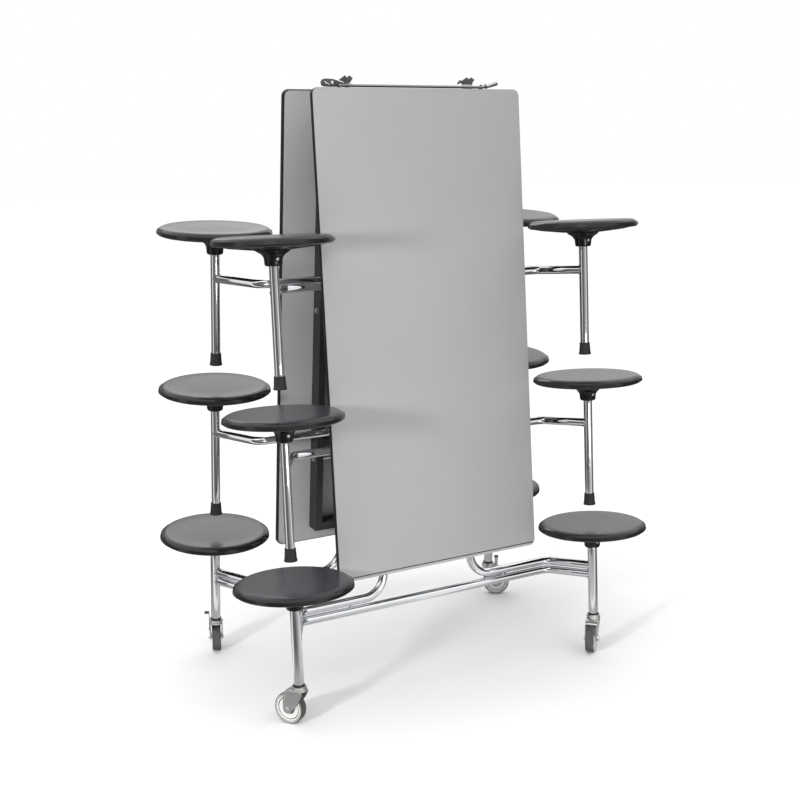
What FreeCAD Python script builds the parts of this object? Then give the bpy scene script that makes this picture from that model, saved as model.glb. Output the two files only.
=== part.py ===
import FreeCAD, Part
import os, math, sys

# Folding table on casters with twelve attached swivel stools, shown folded.
# X runs across the table, Y from the front half to the back half, Z is up.
# The origin is on the floor, under the centre of the table.

V = FreeCAD.Vector
doc = FreeCAD.newDocument("folding_stool_table")

# ---------------------------------------------------------------- sizes
sheet = doc.addObject("Spreadsheet::Sheet", "dims")
ROWS = [
    ("panel_length", 1525), ("panel_width", 756), ("panel_thick", 19),
    ("edge_thick", 3), ("corner_radius", 22), ("lean_deg", 4.93),
    ("panel_top_y", 106), ("panel_top_z", 1906.9),
    ("rail_x", 246), ("rail_width", 24), ("rail_depth", 49), ("rail_wall", 2.5),
    ("rail_start", 5), ("back_rail_start", 46), ("rail_end", 1475),
    ("fold_u", 61), ("pivot_depth", 48),
    ("pivot_top", 185), ("pivot_mid", 705), ("pivot_leg", 1217),
    ("tilt_deg", 3.7), ("pivot_height", 697), ("pivot_inset", 123.5),
    ("seat_height", 452), ("seat_radius", 182), ("stool_x", 571),
    ("tube_radius", 14), ("tube_wall", 1.6), ("post_radius", 14.5),
    ("leg_post_radius", 16), ("arm_height", 286), ("arm_inset", 151),
    ("arm_bend_x", 485), ("leg_arm_height", 297), ("leg_bow_height", 266),
    ("leg_arm_inset", 151), ("leg_bend_x", 485), ("riser_x", 170),
    ("arm_bend_radius", 45), ("riser_bend_radius", 75),
    ("bar_width", 32), ("bar_thick", 8), ("pivot_tube_radius", 12.5),
    ("link_in", 33), ("link_down", 33), ("link_x", 149), ("link_thick", 5),
    ("link_width", 20), ("hub_top_radius", 42), ("hub_bottom_radius", 25.5),
    ("hub_top", 410.4), ("hub_bottom", 372), ("post_top", 404),
    ("pin_radius", 8), ("pin_clear", 0.05),
    ("foot_top_radius", 17.5), ("foot_bottom_radius", 20.5), ("foot_height", 40),
    ("foot_floor", 8), ("wheel_radius", 50), ("wheel_width", 30),
    ("core_radius", 37), ("axle_radius", 6), ("trail", 32), ("fork_gap", 36),
    ("fork_thick", 3), ("leg_post_bottom", 125), ("bar_radius", 4.5),
    ("handle_y", 41), ("handle_z", 10), ("bolt_radius", 6), ("carriage_x", 172),
]
for i, (alias, val) in enumerate(ROWS):
    sheet.set("A%d" % (i + 1), alias)
    sheet.set("B%d" % (i + 1), str(val))
    sheet.setAlias("B%d" % (i + 1), alias)
doc.recompute()


def S(name):
    return float(getattr(sheet, name))


def bind(obj, prop, expr):
    obj.setExpression(prop, expr)


def D(alias):
    return "dims." + alias


made = {}          # node name -> document object


def keep(name, obj):
    obj.Label = name
    made[name] = obj
    return obj


# ------------------------------------------------- small modelling helpers
def box(tag, lo, hi):
    o = doc.addObject("Part::Box", tag)
    o.Length, o.Width, o.Height = hi[0] - lo[0], hi[1] - lo[1], hi[2] - lo[2]
    o.Placement.Base = V(*lo)
    return o


def cyl(tag, base, axis, r, length, rx=None, lx=None):
    o = doc.addObject("Part::Cylinder", tag)
    o.Radius, o.Height = r, length
    if rx:
        bind(o, "Radius", rx)
    if lx:
        bind(o, "Height", lx)
    o.Placement = FreeCAD.Placement(V(*base), FreeCAD.Rotation(V(0, 0, 1), V(*axis)))
    return o


def fuse(tag, objs):
    if len(objs) == 1:
        return objs[0]
    o = doc.addObject("Part::MultiFuse", tag)
    o.Shapes = objs
    o.Refine = True
    return o


def cut(tag, base, tool):
    o = doc.addObject("Part::Cut", tag)
    o.Base, o.Tool = base, tool
    o.Refine = True
    return o


def group(tag, objs):
    o = doc.addObject("Part::Compound", tag)
    o.Links = objs
    return o


def rounded_wire(pts, radii):
    """Straight runs joined by tangent arcs; radii has one value per corner."""
    P = [V(*p) for p in pts]
    edges, start = [], P[0]
    for k in range(1, len(P) - 1):
        a = (P[k - 1] - P[k]); b = (P[k + 1] - P[k])
        a.normalize(); b.normalize()
        ang = a.getAngle(b)
        r = radii[k - 1]
        t = r / math.tan(ang / 2.0)
        p1, p2 = P[k] + a * t, P[k] + b * t
        mid = a + b
        mid.normalize()
        c = P[k] + mid * (r / math.sin(ang / 2.0))
        pm = c - mid * r
        edges.append(Part.LineSegment(start, p1).toShape())
        edges.append(Part.Arc(p1, pm, p2).toShape())
        start = p2
    edges.append(Part.LineSegment(start, P[-1]).toShape())
    return Part.Wire(edges)


def sweep(tag, pts, radii, r_expr, r):
    """A round bar along a bent centre line."""
    w = doc.addObject("Part::Feature", tag + "_line")
    w.Shape = rounded_wire(pts, radii)
    n = len(w.Shape.Edges)
    c = doc.addObject("Part::Circle", tag + "_round")
    c.Radius = r
    bind(c, "Radius", r_expr)
    d = V(*pts[1]) - V(*pts[0])
    c.Placement = FreeCAD.Placement(V(*pts[0]), FreeCAD.Rotation(V(0, 0, 1), d))
    s = doc.addObject("Part::Sweep", tag)
    s.Sections = [c]
    s.Spine = (w, ["Edge%d" % (i + 1) for i in range(n)])
    s.Solid = True
    s.Frenet = False
    s.Transition = "Right corner"
    return s


def plate(tag, outline, x0, thick):
    """Flat plate in a Y-Z outline, thick along X from x0."""
    o = doc.addObject("Part::Extrusion", tag)
    w = doc.addObject("Part::Polygon", tag + "_outline")
    w.Nodes = [V(x0, y, z) for y, z in outline]
    w.Close = True
    o.Base = w
    o.Dir = V(1, 0, 0)
    o.DirMode = "Custom"
    o.LengthFwd = thick
    o.Solid = True
    return o


def stadium(tag, p, q, width, x0, thick):
    """Flat bar with round ends between two Y-Z points."""
    (y0, z0), (y1, z1) = p, q
    L = math.hypot(y1 - y0, z1 - z0)
    ny, nz = -(z1 - z0) / L * width / 2, (y1 - y0) / L * width / 2
    a = plate(tag + "_bar", [(y0 + ny, z0 + nz), (y1 + ny, z1 + nz),
                             (y1 - ny, z1 - nz), (y0 - ny, z0 - nz)], x0, thick)
    e = [cyl(tag + "_end%d" % i, (x0, y, z), (1, 0, 0), width / 2, thick)
         for i, (y, z) in enumerate(((y0, z0), (y1, z1)))]
    return fuse(tag, [a] + e)


def body_origin(body, role):
    for f in body.Origin.OriginFeatures:
        if f.Role == role:
            return f


def sketch(body, tag, plane="XZ_Plane"):
    s = body.newObject("Sketcher::SketchObject", tag)
    s.AttachmentSupport = (body_origin(body, plane), [""])
    s.MapMode = "FlatFace"
    return s


def polyline(sk, pts):
    """Closed outline of straight runs; a run may be given as an arc midpoint."""
    n = len(pts)
    for i in range(n):
        a, b = pts[i], pts[(i + 1) % n]
        if len(a) == 3:      # arc from a through a[2] to b
            arc = Part.Arc(V(a[0], a[1], 0), V(a[2][0], a[2][1], 0), V(b[0], b[1], 0))
            sk.addGeometry(arc, False)
        else:
            sk.addGeometry(Part.LineSegment(V(a[0], a[1], 0), V(b[0], b[1], 0)), False)


def revolved(tag, pts, plane="XZ_Plane"):
    """Body turned about the Z axis from an outline of (radius, height)."""
    b = doc.addObject("PartDesign::Body", tag)
    sk = sketch(b, tag + "_section", plane)
    polyline(sk, pts)
    rv = b.newObject("PartDesign::Revolution", tag + "_turn")
    rv.Profile = sk
    rv.ReferenceAxis = (sk, ["V_Axis"])
    rv.Angle = 360.0
    b.Tip = rv
    return b


def at(obj, placement):
    obj.Placement = placement.multiply(obj.Placement)
    return obj


def mirror(name, src):
    """The same piece on the other half of the table."""
    m = doc.addObject("Part::Mirroring", name)
    m.Source = src
    m.Base = V(0, 0, 0)
    m.Normal = V(0, 1, 0)
    return keep(name, m)


# ------------------------------------------------------ derived positions
LEAN, TILT = math.radians(S("lean_deg")), math.radians(S("tilt_deg"))
PANEL = FreeCAD.Placement(V(0, -S("panel_top_y"), S("panel_top_z")),
                          FreeCAD.Rotation(V(1, 0, 0), -S("lean_deg")))


def on_panel(u, depth):
    """World Y, Z of a point u down the front panel and depth behind its face."""
    p = PANEL.multVec(V(0, depth, -u))
    return p.y, p.z


def frame_place(u):
    """Placement of an upright stool frame whose pivot sits u down the panel."""
    py, pz = on_panel(u, S("pivot_depth"))
    rot = FreeCAD.Rotation(V(1, 0, 0), -S("tilt_deg"))
    off = rot.multVec(V(0, S("pivot_inset"), S("pivot_height")))
    return FreeCAD.Placement(V(0, py - off.y, pz - off.z), rot)


PLACES = {"top": frame_place(S("pivot_top")), "mid": frame_place(S("pivot_mid")),
          "leg": frame_place(S("pivot_leg"))}

# --------------------------------------------------------- table panels
W, L, T, E, CR = (S("panel_width"), S("panel_length"), S("panel_thick"),
                  S("edge_thick"), S("corner_radius"))


def rounded_sketch(sk, x0, x1, z0, z1, r):
    k = r * (1 - math.sqrt(0.5))
    polyline(sk, [(x0 + r, z0), (x1 - r, z0, (x1 - k, z0 + k)), (x1, z0 + r),
                  (x1, z1 - r, (x1 - k, z1 - k)), (x1 - r, z1),
                  (x0 + r, z1, (x0 + k, z1 - k)), (x0, z1 - r),
                  (x0, z0 + r, (x0 + k, z0 + k))])


def slab(name):
    b = doc.addObject("PartDesign::Body", name)
    sk = sketch(b, name + "_face")
    rounded_sketch(sk, -W / 2 + E, W / 2 - E, -L + E, -E, CR - E)
    p = b.newObject("PartDesign::Pad", name + "_thickness")
    p.Profile = sk
    p.Length = T
    bind(p, "Length", D("panel_thick"))
    p.Reversed = True
    b.Tip = p
    doc.recompute()
    if b.Shape.BoundBox.YMin < -1:
        p.Reversed = False
    return b


def band(name):
    b = doc.addObject("PartDesign::Body", name)
    sk = sketch(b, name + "_outline")
    rounded_sketch(sk, -W / 2, W / 2, -L, 0, CR)
    rounded_sketch(sk, -W / 2 + E, W / 2 - E, -L + E, -E, CR - E)
    p = b.newObject("PartDesign::Pad", name + "_depth")
    p.Profile = sk
    p.Length = T
    bind(p, "Length", D("panel_thick"))
    p.Reversed = True
    b.Tip = p
    doc.recompute()
    if b.Shape.BoundBox.YMin < -1:
        p.Reversed = False
    return b


keep("front_tabletop", at(slab("front_tabletop"), PANEL))
keep("front_edge_band", at(band("front_edge_band"), PANEL))

# ------------------------------------------------- underframe of a half
RX, RW, RD, RT = S("rail_x"), S("rail_width"), S("rail_depth"), S("rail_wall")
xi, xo = RX - RW / 2, RX + RW / 2
y0, y1 = T, T + RD
PD = S("pivot_depth")


def rail(tag, s, start):
    a, b = (xi, xo) if s > 0 else (-xo, -xi)
    outer = box(tag + "_out", (a, y0, -S("rail_end")), (b, y1, -start))
    inner = box(tag + "_in", (a + RT, y0 + RT, -S("rail_end") - 1),
                (b - RT, y1 - RT, -start + 1))
    return outer, inner


def member(tag, u, h, d):
    outer = box(tag + "_out", (-xi, y0, -u - h), (xi, y0 + d, -u))
    inner = box(tag + "_in", (-xi - 1, y0 + RT, -u - h + RT), (xi + 1, y0 + d - RT, -u - RT))
    return outer, inner


def underframe(name, handle):
    # the front half carries the keepers on its first member; the back half leaves that space free
    outs, ins = [], []
    start = S("rail_start") if handle else S("back_rail_start")
    for s in (-1, 1):
        o, i = rail("%s_rail%d" % (name, s), s, start)
        outs.append(o); ins.append(i)
    solid = fuse(name + "_rails", outs)
    hollow = cut(name + "_tubes", solid, fuse(name + "_bores", ins))
    bars = []
    first = (start, 20, RD) if handle else (96, 24, 20)
    for k, (u, h, d) in enumerate((first, (636, 28, RD), (1146, 28, RD), (1447, 28, RD))):
        o, i = member("%s_bar%d" % (name, k), u, h, d)
        bars.append(cut("%s_member%d" % (name, k), o, i))
    whole = fuse(name + "_welded", [hollow] + bars)
    holes = []
    for k, u in enumerate((S("fold_u"), S("pivot_top"), S("pivot_mid"), S("pivot_leg"))):
        r = 7.05 if k == 0 else S("bolt_radius") + 0.05
        for s in (-1, 1):
            x = xi - 2 if s > 0 else -xo - 2
            holes.append(cyl("%s_hole%d_%d" % (name, k, s), (x, PD, -u), (1, 0, 0), r, RW + 4))
    if handle:
        for s in (-1, 1):
            x = xi - 2 if s > 0 else -xo - 2
            holes.append(cyl("%s_lug%d" % (name, s), (x, 47, -37), (1, 0, 0), 5.0, RW + 4))
    return cut(name, whole, fuse(name + "_drilled", holes))


keep("front_underframe", at(underframe("front_underframe", True), PANEL))
keep("back_underframe_src", at(underframe("back_underframe_src", False), PANEL))

# screws that hold the underframe to the panel: round heads on the rails
scr = []
for i, u in enumerate((110, 330, 560, 790, 1000, 1300, 1400)):
    for s in (-1, 1):
        scr.append(cyl("uf_screw%d_%d" % (i, s), (s * (RX + 0), y1, -u), (0, 1, 0), 4.5, 1.6))
grp = group("underframe_screws", scr)
keep("underframe_screws_src", at(grp, PANEL))

# notched keeper plates that stand up past the inner end of the front half
kp = []
for s in (-1, 1):
    c = 222 * s
    o = doc.addObject("Part::Extrusion", "keeper%d" % s)
    w = doc.addObject("Part::Polygon", "keeper_outline%d" % s)
    pts = [(-15, -18), (20, -18), (20, 16), (22.5, 28), (31, 37), (18, 44.4), (8.5, 38.2), (4.5, 42), (1, 44.6),
           (-20, 32.5), (-26, 35.5), (-36, 25.5), (-32, 22), (-24, 28), (-18.5, 24.5), (-15, 16)]
    if s < 0:
        pts = [(-9, -18), (10, -18), (8, 19), (10.5, 20.5), (22, 36), (11, 44.2), (1, 36.5), (-4, 44.6), (-26, 30.5),
               (-7.5, 24)]
    w.Nodes = [V(c + x, y1 + 0.05, z) for x, z in pts]
    w.Close = True
    o.Base, o.Dir, o.DirMode, o.LengthFwd, o.Solid = w, V(0, 1, 0), "Custom", 5, True
    kp.append(o)
keep("keeper_plates", at(group("keeper_plates", kp), PANEL))

# ------------------------------------------------------ release bar
HY, HZ = S("handle_y"), S("handle_z")
bar_pts = [(-262, HY, HZ), (264, HY, HZ), (325, 50, 24)]
rod = sweep("release_rod", bar_pts, [60], D("bar_radius"), S("bar_radius"))
# flat paddle at one end, round grip at the turned-out other end
paddle = doc.addObject("Part::Extrusion", "release_paddle")
wire = doc.addObject("Part::Polygon", "release_paddle_outline")
wire.Nodes = [V(x, HY - 2.5, z) for x, z in [(-204, HZ + 3), (-266, 27), (-285, 30.5), (-319, 30.5), (-327, 25), (-327, 13),
                                            (-318, 7), (-270, 5.5), (-204, HZ - 3)]]
wire.Close = True
paddle.Base, paddle.Dir, paddle.DirMode, paddle.LengthFwd, paddle.Solid = wire, V(0, 1, 0), "Custom", 5, True
gd = V(61, 9, 14)
gd.normalize()
grip = cyl("release_grip", tuple(V(325, 50, 24) - gd * 50), tuple(gd), 7.5, 51)
knob = cyl("release_knob", (-292, HY - 5.5, 18), (0, 1, 0), 6, 11)
arms = []
for s in (-1, 1):
    x0 = xo + 1.2 if s > 0 else -xo - 1.2 - 5
    arms.append(stadium("release_arm%d" % s, (47, -37), (46.5, 9), 20, x0, 5))
bar_body = fuse("release_bar_blank", [rod, paddle, grip, knob] + arms)
eyes = []
for s in (-1, 1):
    x0 = xo - 1 if s > 0 else -xo - 8
    eyes.append(cyl("release_eye%d" % s, (x0, 47, -37), (1, 0, 0), 5.05, 9))
keep("release_bar", at(cut("release_bar", bar_body, fuse("release_eyes", eyes)), PANEL))
pv = []
for s in (-1, 1):
    x0 = xi + RT + 0.5 if s > 0 else -xo - 9.5
    shank = cyl("release_pin%d" % s, (x0, 47, -37), (1, 0, 0), 5.0, xo + 9.5 - (xi + RT + 0.5))
    xh = xo + 6.6 if s > 0 else -xo - 10.6
    head = cyl("release_head%d" % s, (xh, 47, -37), (1, 0, 0), 8.5, 4)
    pv.append(fuse("release_pivot%d" % s, [shank, head]))
piv = at(group("release_bar_pivots", pv), PANEL)
keep("front_underframe_fasteners", group("front_underframe_fasteners", [grp, piv]))

# ------------------------------------------------------ centre carriage
fy, fz = on_panel(S("fold_u"), PD)
fy = abs(fy)
plates = []
CPX = S("carriage_x")
TZ = fz - 84
for s in (-1, 1):
    x0 = CPX if s > 0 else -CPX - 6
    pl = plate("carriage_plate%d" % s, [(-fy - 9, fz + 12), (-fy - 17, fz), (-fy - 13, fz - 12), (-22, TZ - 20),
               (22, TZ - 20), (fy + 13, fz - 12), (fy + 17, fz), (fy + 9, fz + 12), (fy - 12, fz + 9), (20, fz - 34),
               (-20, fz - 34), (-fy + 12, fz + 9)], x0, 6)
    plates.append(pl)
    for f in (-1, 1):
        sa = CPX + 5 if s > 0 else -xi + 1
        plates.append(cyl("carriage_sleeve%d_%d" % (s, f), (sa, f * fy, fz), (1, 0, 0), 11.5, xi - 1 - CPX - 5))
tube_o = cyl("carriage_tube_out", (-CPX - 5, 0, TZ), (1, 0, 0), 15, 2 * (CPX + 5))
tube_i = cyl("carriage_tube_in", (-xi + 0, 0, TZ), (1, 0, 0), 13, 2 * xi)
# the point of the link bars beside the carriage, folded and open
LI, LD = S("link_in"), S("link_down")
rotf = FreeCAD.Rotation(V(1, 0, 0), -S("tilt_deg"))
qoff = rotf.multVec(V(0, LI, -LD))
q_fold = (-fy + qoff.y, fz + qoff.z)
q_open = (-fy + LI, fz - LD)
q_mid = ((q_fold[0] + q_open[0]) / 2, (q_fold[1] + q_open[1]) / 2)
LX, LT = S("link_x"), S("link_thick")
lug = []
for s in (-1, 1):
    x0 = LX + LT + 1.5 if s > 0 else -LX - LT - 1.5 - 6
    lug.append(plate("carriage_lug%d" % s, [(-46, fz - 22), (46, fz - 22), (52, fz - 30), (42, fz - 50), (14, TZ - 2), (-14, TZ - 2),
                     (-42, fz - 50), (-52, fz - 30)], x0, 6))
blank = fuse("carriage_blank", plates + lug + [tube_o])
drill = [tube_i]
for s in (-1, 1):
    for f in (-1, 1):
        x0 = CPX - 2 if s > 0 else -xi
        drill.append(cyl("carriage_hole%d_%d" % (s, f), (x0, f * fy, fz), (1, 0, 0), 7.05, xi - CPX + 2))
        x0 = LX + LT if s > 0 else -LX - LT - 12
        drill.append(cyl("carriage_slot%d_%d" % (s, f), (x0, -f * q_mid[0], q_mid[1]), (1, 0, 0), 8.5, 12))
keep("centre_carriage", cut("centre_carriage", blank, fuse("carriage_drill", drill)))
fp = []
for s in (-1, 1):
    for f in (-1, 1):
        a = CPX - 1
        b = xo + 6
        shank = cyl("fold_shank%d_%d" % (s, f), (a - 1 if s > 0 else -b, f * fy, fz), (1, 0, 0), 7, b - a + 1)
        hx = a - 4 if s > 0 else -a
        head = cyl("fold_head%d_%d" % (s, f), (hx, f * fy, fz), (1, 0, 0), 11, 4)
        nx = xo + 1 if s > 0 else -xo - 6
        nut = cyl("fold_nut%d_%d" % (s, f), (nx, f * fy, fz), (1, 0, 0), 11, 5)
        fp.append(fuse("fold_pin%d_%d" % (s, f), [shank, head, nut]))
keep("fold_pins", group("fold_pins", fp))

# ------------------------------------------------------ stool frames
SX, TRa, TWl = S("stool_x"), S("tube_radius"), S("tube_wall")
PH, PI = S("pivot_height"), S("pivot_inset")
slope = 0.157
BW, BT = S("bar_width"), S("bar_thick")
RSX = S("riser_x")
bx0 = RSX + TRa                      # half length of the pivot tube


def riser_in(w):
    return PI + (PH - w) * slope


def stool_frame(name, leg):
    pr = S("leg_post_radius") if leg else S("post_radius")
    prx = D("leg_post_radius") if leg else D("post_radius")
    bot = S("leg_post_bottom") if leg else S("foot_floor")
    top = S("post_top")
    aw = S("leg_arm_height") if leg else S("arm_height")
    ai = S("leg_arm_inset") if leg else S("arm_inset")
    bx = S("leg_bend_x") if leg else S("arm_bend_x")
    outs, ins = [], []
    for s in (-1, 1):
        outs.append(cyl("%s_post%d" % (name, s), (s * SX, 0, bot), (0, 0, 1), pr, top - bot, prx))
        ins.append(cyl("%s_postbore%d" % (name, s), (s * SX, 0, bot - 1), (0, 0, 1), pr - 1.8, top - bot + 2,
                       prx + " - 1.8"))
        wr = 440.0
        pts = [(s * SX, 0, aw), (s * bx, ai, aw), (s * RSX, ai + 6, aw), (s * RSX, riser_in(wr), wr)]
        outs.append(sweep("%s_arm%d" % (name, s), pts, [S("arm_bend_radius"), S("riser_bend_radius")],
                          D("tube_radius"), TRa))
        ins.append(sweep("%s_armbore%d" % (name, s), pts, [S("arm_bend_radius"), S("riser_bend_radius")],
                         D("tube_radius") + " - " + D("tube_wall"), TRa - TWl))
        x0 = s * RSX - BT / 2
        outs.append(stadium("%s_riser%d" % (name, s), (riser_in(408), 408), (PI, PH), BW, x0, BT))
    if leg:
        bw = S("leg_bow_height")
        pts = [(-SX, 0, bw), (-bx, ai, bw), (bx, ai, bw), (SX, 0, bw)]
        rr = [S("arm_bend_radius")] * 2
        outs.append(sweep(name + "_bow", pts, rr, D("tube_radius"), TRa))
        ins.append(sweep(name + "_bowbore", pts, rr, D("tube_radius") + " - " + D("tube_wall"), TRa - TWl))
        for i, x in enumerate((-300, 300)):
            outs.append(cyl("%s_tie%d" % (name, i), (x, ai + 3, bw), (0, 0, 1), 5, aw - bw))
    ptr = S("pivot_tube_radius")
    outs.append(cyl(name + "_pivot_tube", (-bx0, PI, PH), (1, 0, 0), ptr, 2 * bx0, D("pivot_tube_radius")))
    for s in (-1, 1):
        x0 = LX - 1.2 - 5 if s > 0 else -LX + 1.2
        outs.append(stadium("%s_lug%d" % (name, s), (PI, PH), (PI + LI, PH - LD), 22, x0, 5))
    blank = fuse(name + "_outer", outs)
    # bores: posts, arms, pivot tube and the holes of the link pins
    ins.append(cyl(name + "_pivot_bore", (-bx0 - 20, PI, PH), (1, 0, 0), S("bolt_radius"), 2 * bx0 + 40))
    for s in (-1, 1):
        x0 = LX - 10 if s > 0 else -LX - 5
        ins.append(cyl("%s_linkhole%d" % (name, s), (x0, PI + LI, PH - LD), (1, 0, 0), 5.05, 15))
    # side screws of the seat hubs pass through the post walls
    for s in (-1, 1):
        ins.append(cyl("%s_screwhole%d" % (name, s), (s * SX, -30, 392), (0, 1, 0), 2.6, 60))
    return cut(name, blank, fuse(name + "_inner", ins))


def hubs(name, leg):
    pr = (S("leg_post_radius") if leg else S("post_radius")) + 0.05
    out = []
    for s in (-1, 1):
        prof = [(0, 405), (pr, 405), (pr, 372), (S("hub_bottom_radius") - 2, 372, (S("hub_bottom_radius") - 0.5, 372.7)),
                (S("hub_bottom_radius"), 374.5), (31.5, 394, (35, 402)), (43, 407.5), (43, S("hub_top")),
                (S("pin_radius"), S("hub_top")), (S("pin_radius"), 431), (0, 431)]
        prof = [p for p in prof]
        b = revolved("%s_hub%d" % (name, s), prof)
        b.Placement.Base = V(s * SX, 0, 0)
        hole = cyl("%s_bolt%d" % (name, s), (s * SX, -45, 392), (0, 1, 0), 2.6, 90)
        seat = cyl("%s_flat%d" % (name, s), (s * SX, -45, 392), (0, 1, 0), 6.2, 45 - 26.5)
        out.append(cut("%s_done%d" % (name, s), b, fuse("%s_tools%d" % (name, s), [hole, seat])))
    return group(name, out)


def fasteners(name, leg):
    out = []
    for s in (-1, 1):
        shank = cyl("%s_sh%d" % (name, s), (s * SX, -27, 392), (0, 1, 0), 2.5, 50)
        head = doc.addObject("Part::Cone", "%s_hd%d" % (name, s))
        head.Radius1, head.Radius2, head.Height = 3.4, 5.8, 3.0
        head.Placement = FreeCAD.Placement(V(s * SX, -26.5, 392), FreeCAD.Rotation(V(0, 0, 1), V(0, -1, 0)))
        out.append(fuse("%s_screw%d" % (name, s), [shank, head]))
        # pivot bolt: through the rail, a spacer and the end of the pivot tube
        a, b = bx0 - 60, xo + 5
        sh = cyl("%s_pb%d" % (name, s), (a if s > 0 else -b, PI, PH), (1, 0, 0), S("bolt_radius"), b - a, D("bolt_radius"))
        hx = xo + 0.6 if s > 0 else -xo - 6.6
        hd = cyl("%s_ph%d" % (name, s), (hx, PI, PH), (1, 0, 0), 10, 6)
        sx = bx0 + 0.3
        sp = cyl("%s_ps%d" % (name, s), (sx if s > 0 else -xi + 0.8, PI, PH), (1, 0, 0), 9.5, xi - 0.8 - sx)
        out.append(fuse("%s_pivot%d" % (name, s), [sh, hd, sp]))
    return group(name, out)


def feet(name):
    out = []
    for s in (-1, 1):
        r = S("post_radius") + 0.05
        prof = [(0, 0), (S("foot_bottom_radius") - 2.5, 0, (S("foot_bottom_radius") - 0.7, 0.8)),
                (S("foot_bottom_radius"), 3), (S("foot_top_radius"), S("foot_height")),
                (r, S("foot_height")), (r, S("foot_floor")), (0, S("foot_floor"))]
        b = revolved("%s_foot%d" % (name, s), prof)
        b.Placement.Base = V(s * SX, 0, 0)
        out.append(b)
    return group(name, out)


def seat(name, s):
    R = S("seat_radius")
    Ht = S("seat_height")
    pc = S("pin_radius") + S("pin_clear")
    prof = [(0, Ht), (R - 26, Ht - 1.6, (R - 8, Ht - 4.5)), (R - 1.2, Ht - 13, (R, Ht - 19)),
            (R - 3.2, Ht - 27, (R - 6, Ht - 30.2)), (R - 11, Ht - 31.5), (75, Ht - 37.5), (48, Ht - 41), (pc, Ht - 41),
            (pc, Ht - 19), (0, Ht - 19)]
    b = revolved(name, prof)
    b.Placement.Base = V(s * SX, 0, 0)
    return b


SIDES = {"left": -1, "right": 1}
for pos in ("top", "mid", "leg"):
    leg = pos == "leg"
    fname = "front_leg_frame" if leg else "front_%s_stool_frame" % pos
    pl = PLACES[pos]
    keep(fname, at(stool_frame(fname, leg), pl))
    n = "front_%s_seat_hubs" % pos
    keep(n, at(hubs(n, leg), pl))
    n = "front_%s_fasteners" % pos
    keep(n, at(fasteners(n, leg), pl))
    if not leg:
        n = "front_%s_feet" % pos
        keep(n, at(feet(n), pl))
    for side, s in SIDES.items():
        n = "front_%s_%s_seat" % (pos, side)
        keep(n, at(seat(n, s), pl))

# ------------------------------------------------------ link bars
u0, u3, u1 = S("fold_u"), S("pivot_top"), S("pivot_leg")
qy, qz = [], []
for pos in ("leg", "mid", "top"):
    p = PLACES[pos].multVec(V(0, PI + LI, PH - LD))
    qy.append(p.y); qz.append(p.z)
lb = []
for s in (-1, 1):
    x0 = LX if s > 0 else -LX - LT
    strip = stadium("link_strip%d" % s, (qy[0], qz[0]), (q_fold[0], q_fold[1]), S("link_width"), x0, LT)
    pins = []
    for i in range(3):
        xa = LX - 1.2 - 5 - 3.5 if s > 0 else -LX - LT - 3
        pins.append(cyl("link_pin%d_%d" % (s, i), (xa, qy[i], qz[i]), (1, 0, 0), 5.0, LT + 6.2 + 3.5 + 3))
    xa = LX if s > 0 else -LX - LT - 9.5
    pins.append(cyl("link_pin%d_c" % s, (xa, q_fold[0], q_fold[1]), (1, 0, 0), 5.0, LT + 9.5))
    lb.append(fuse("link_bar%d" % s, [strip] + pins))
keep("front_link_bars", group("front_link_bars", lb))

# ------------------------------------------------------ casters
TR = S("trail")
TRAIL = {"front_left": 122.0, "front_right": 222.0, "back_left": 68.0, "back_right": 325.0}
FG, FT = S("fork_gap"), S("fork_thick")
WR = S("wheel_radius")


POST_END = PLACES["leg"].multVec(V(0, 0, S("leg_post_bottom")))


def caster_stems(name):
    """Plugs in the leaning posts, each with an upright race and king pin."""
    out = []
    for s in (-1, 1):
        x = s * SX
        plug = cyl("%s_plug%d" % (name, s), (x, 0, S("leg_post_bottom") - 5), (0, 0, 1), 14.1, 40)
        collar = cyl("%s_collar%d" % (name, s), (x, 0, S("leg_post_bottom") - 6), (0, 0, 1), 19, 6)
        for o in (plug, collar):
            at(o, PLACES["leg"])
        race = revolved("%s_race%d" % (name, s), [(0, 117.6), (22, 117.6, (24.2, 118.4)), (24.5, 120), (23, 123), (0, 123)])
        race.Placement.Base = V(x, POST_END.y, 0)
        king = cyl("%s_king%d" % (name, s), (x, POST_END.y, 103), (0, 0, 1), 5.0, 17)
        out.append(fuse("%s_stem%d" % (name, s), [plug, collar, race, king]))
    return group(name, out)


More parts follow.
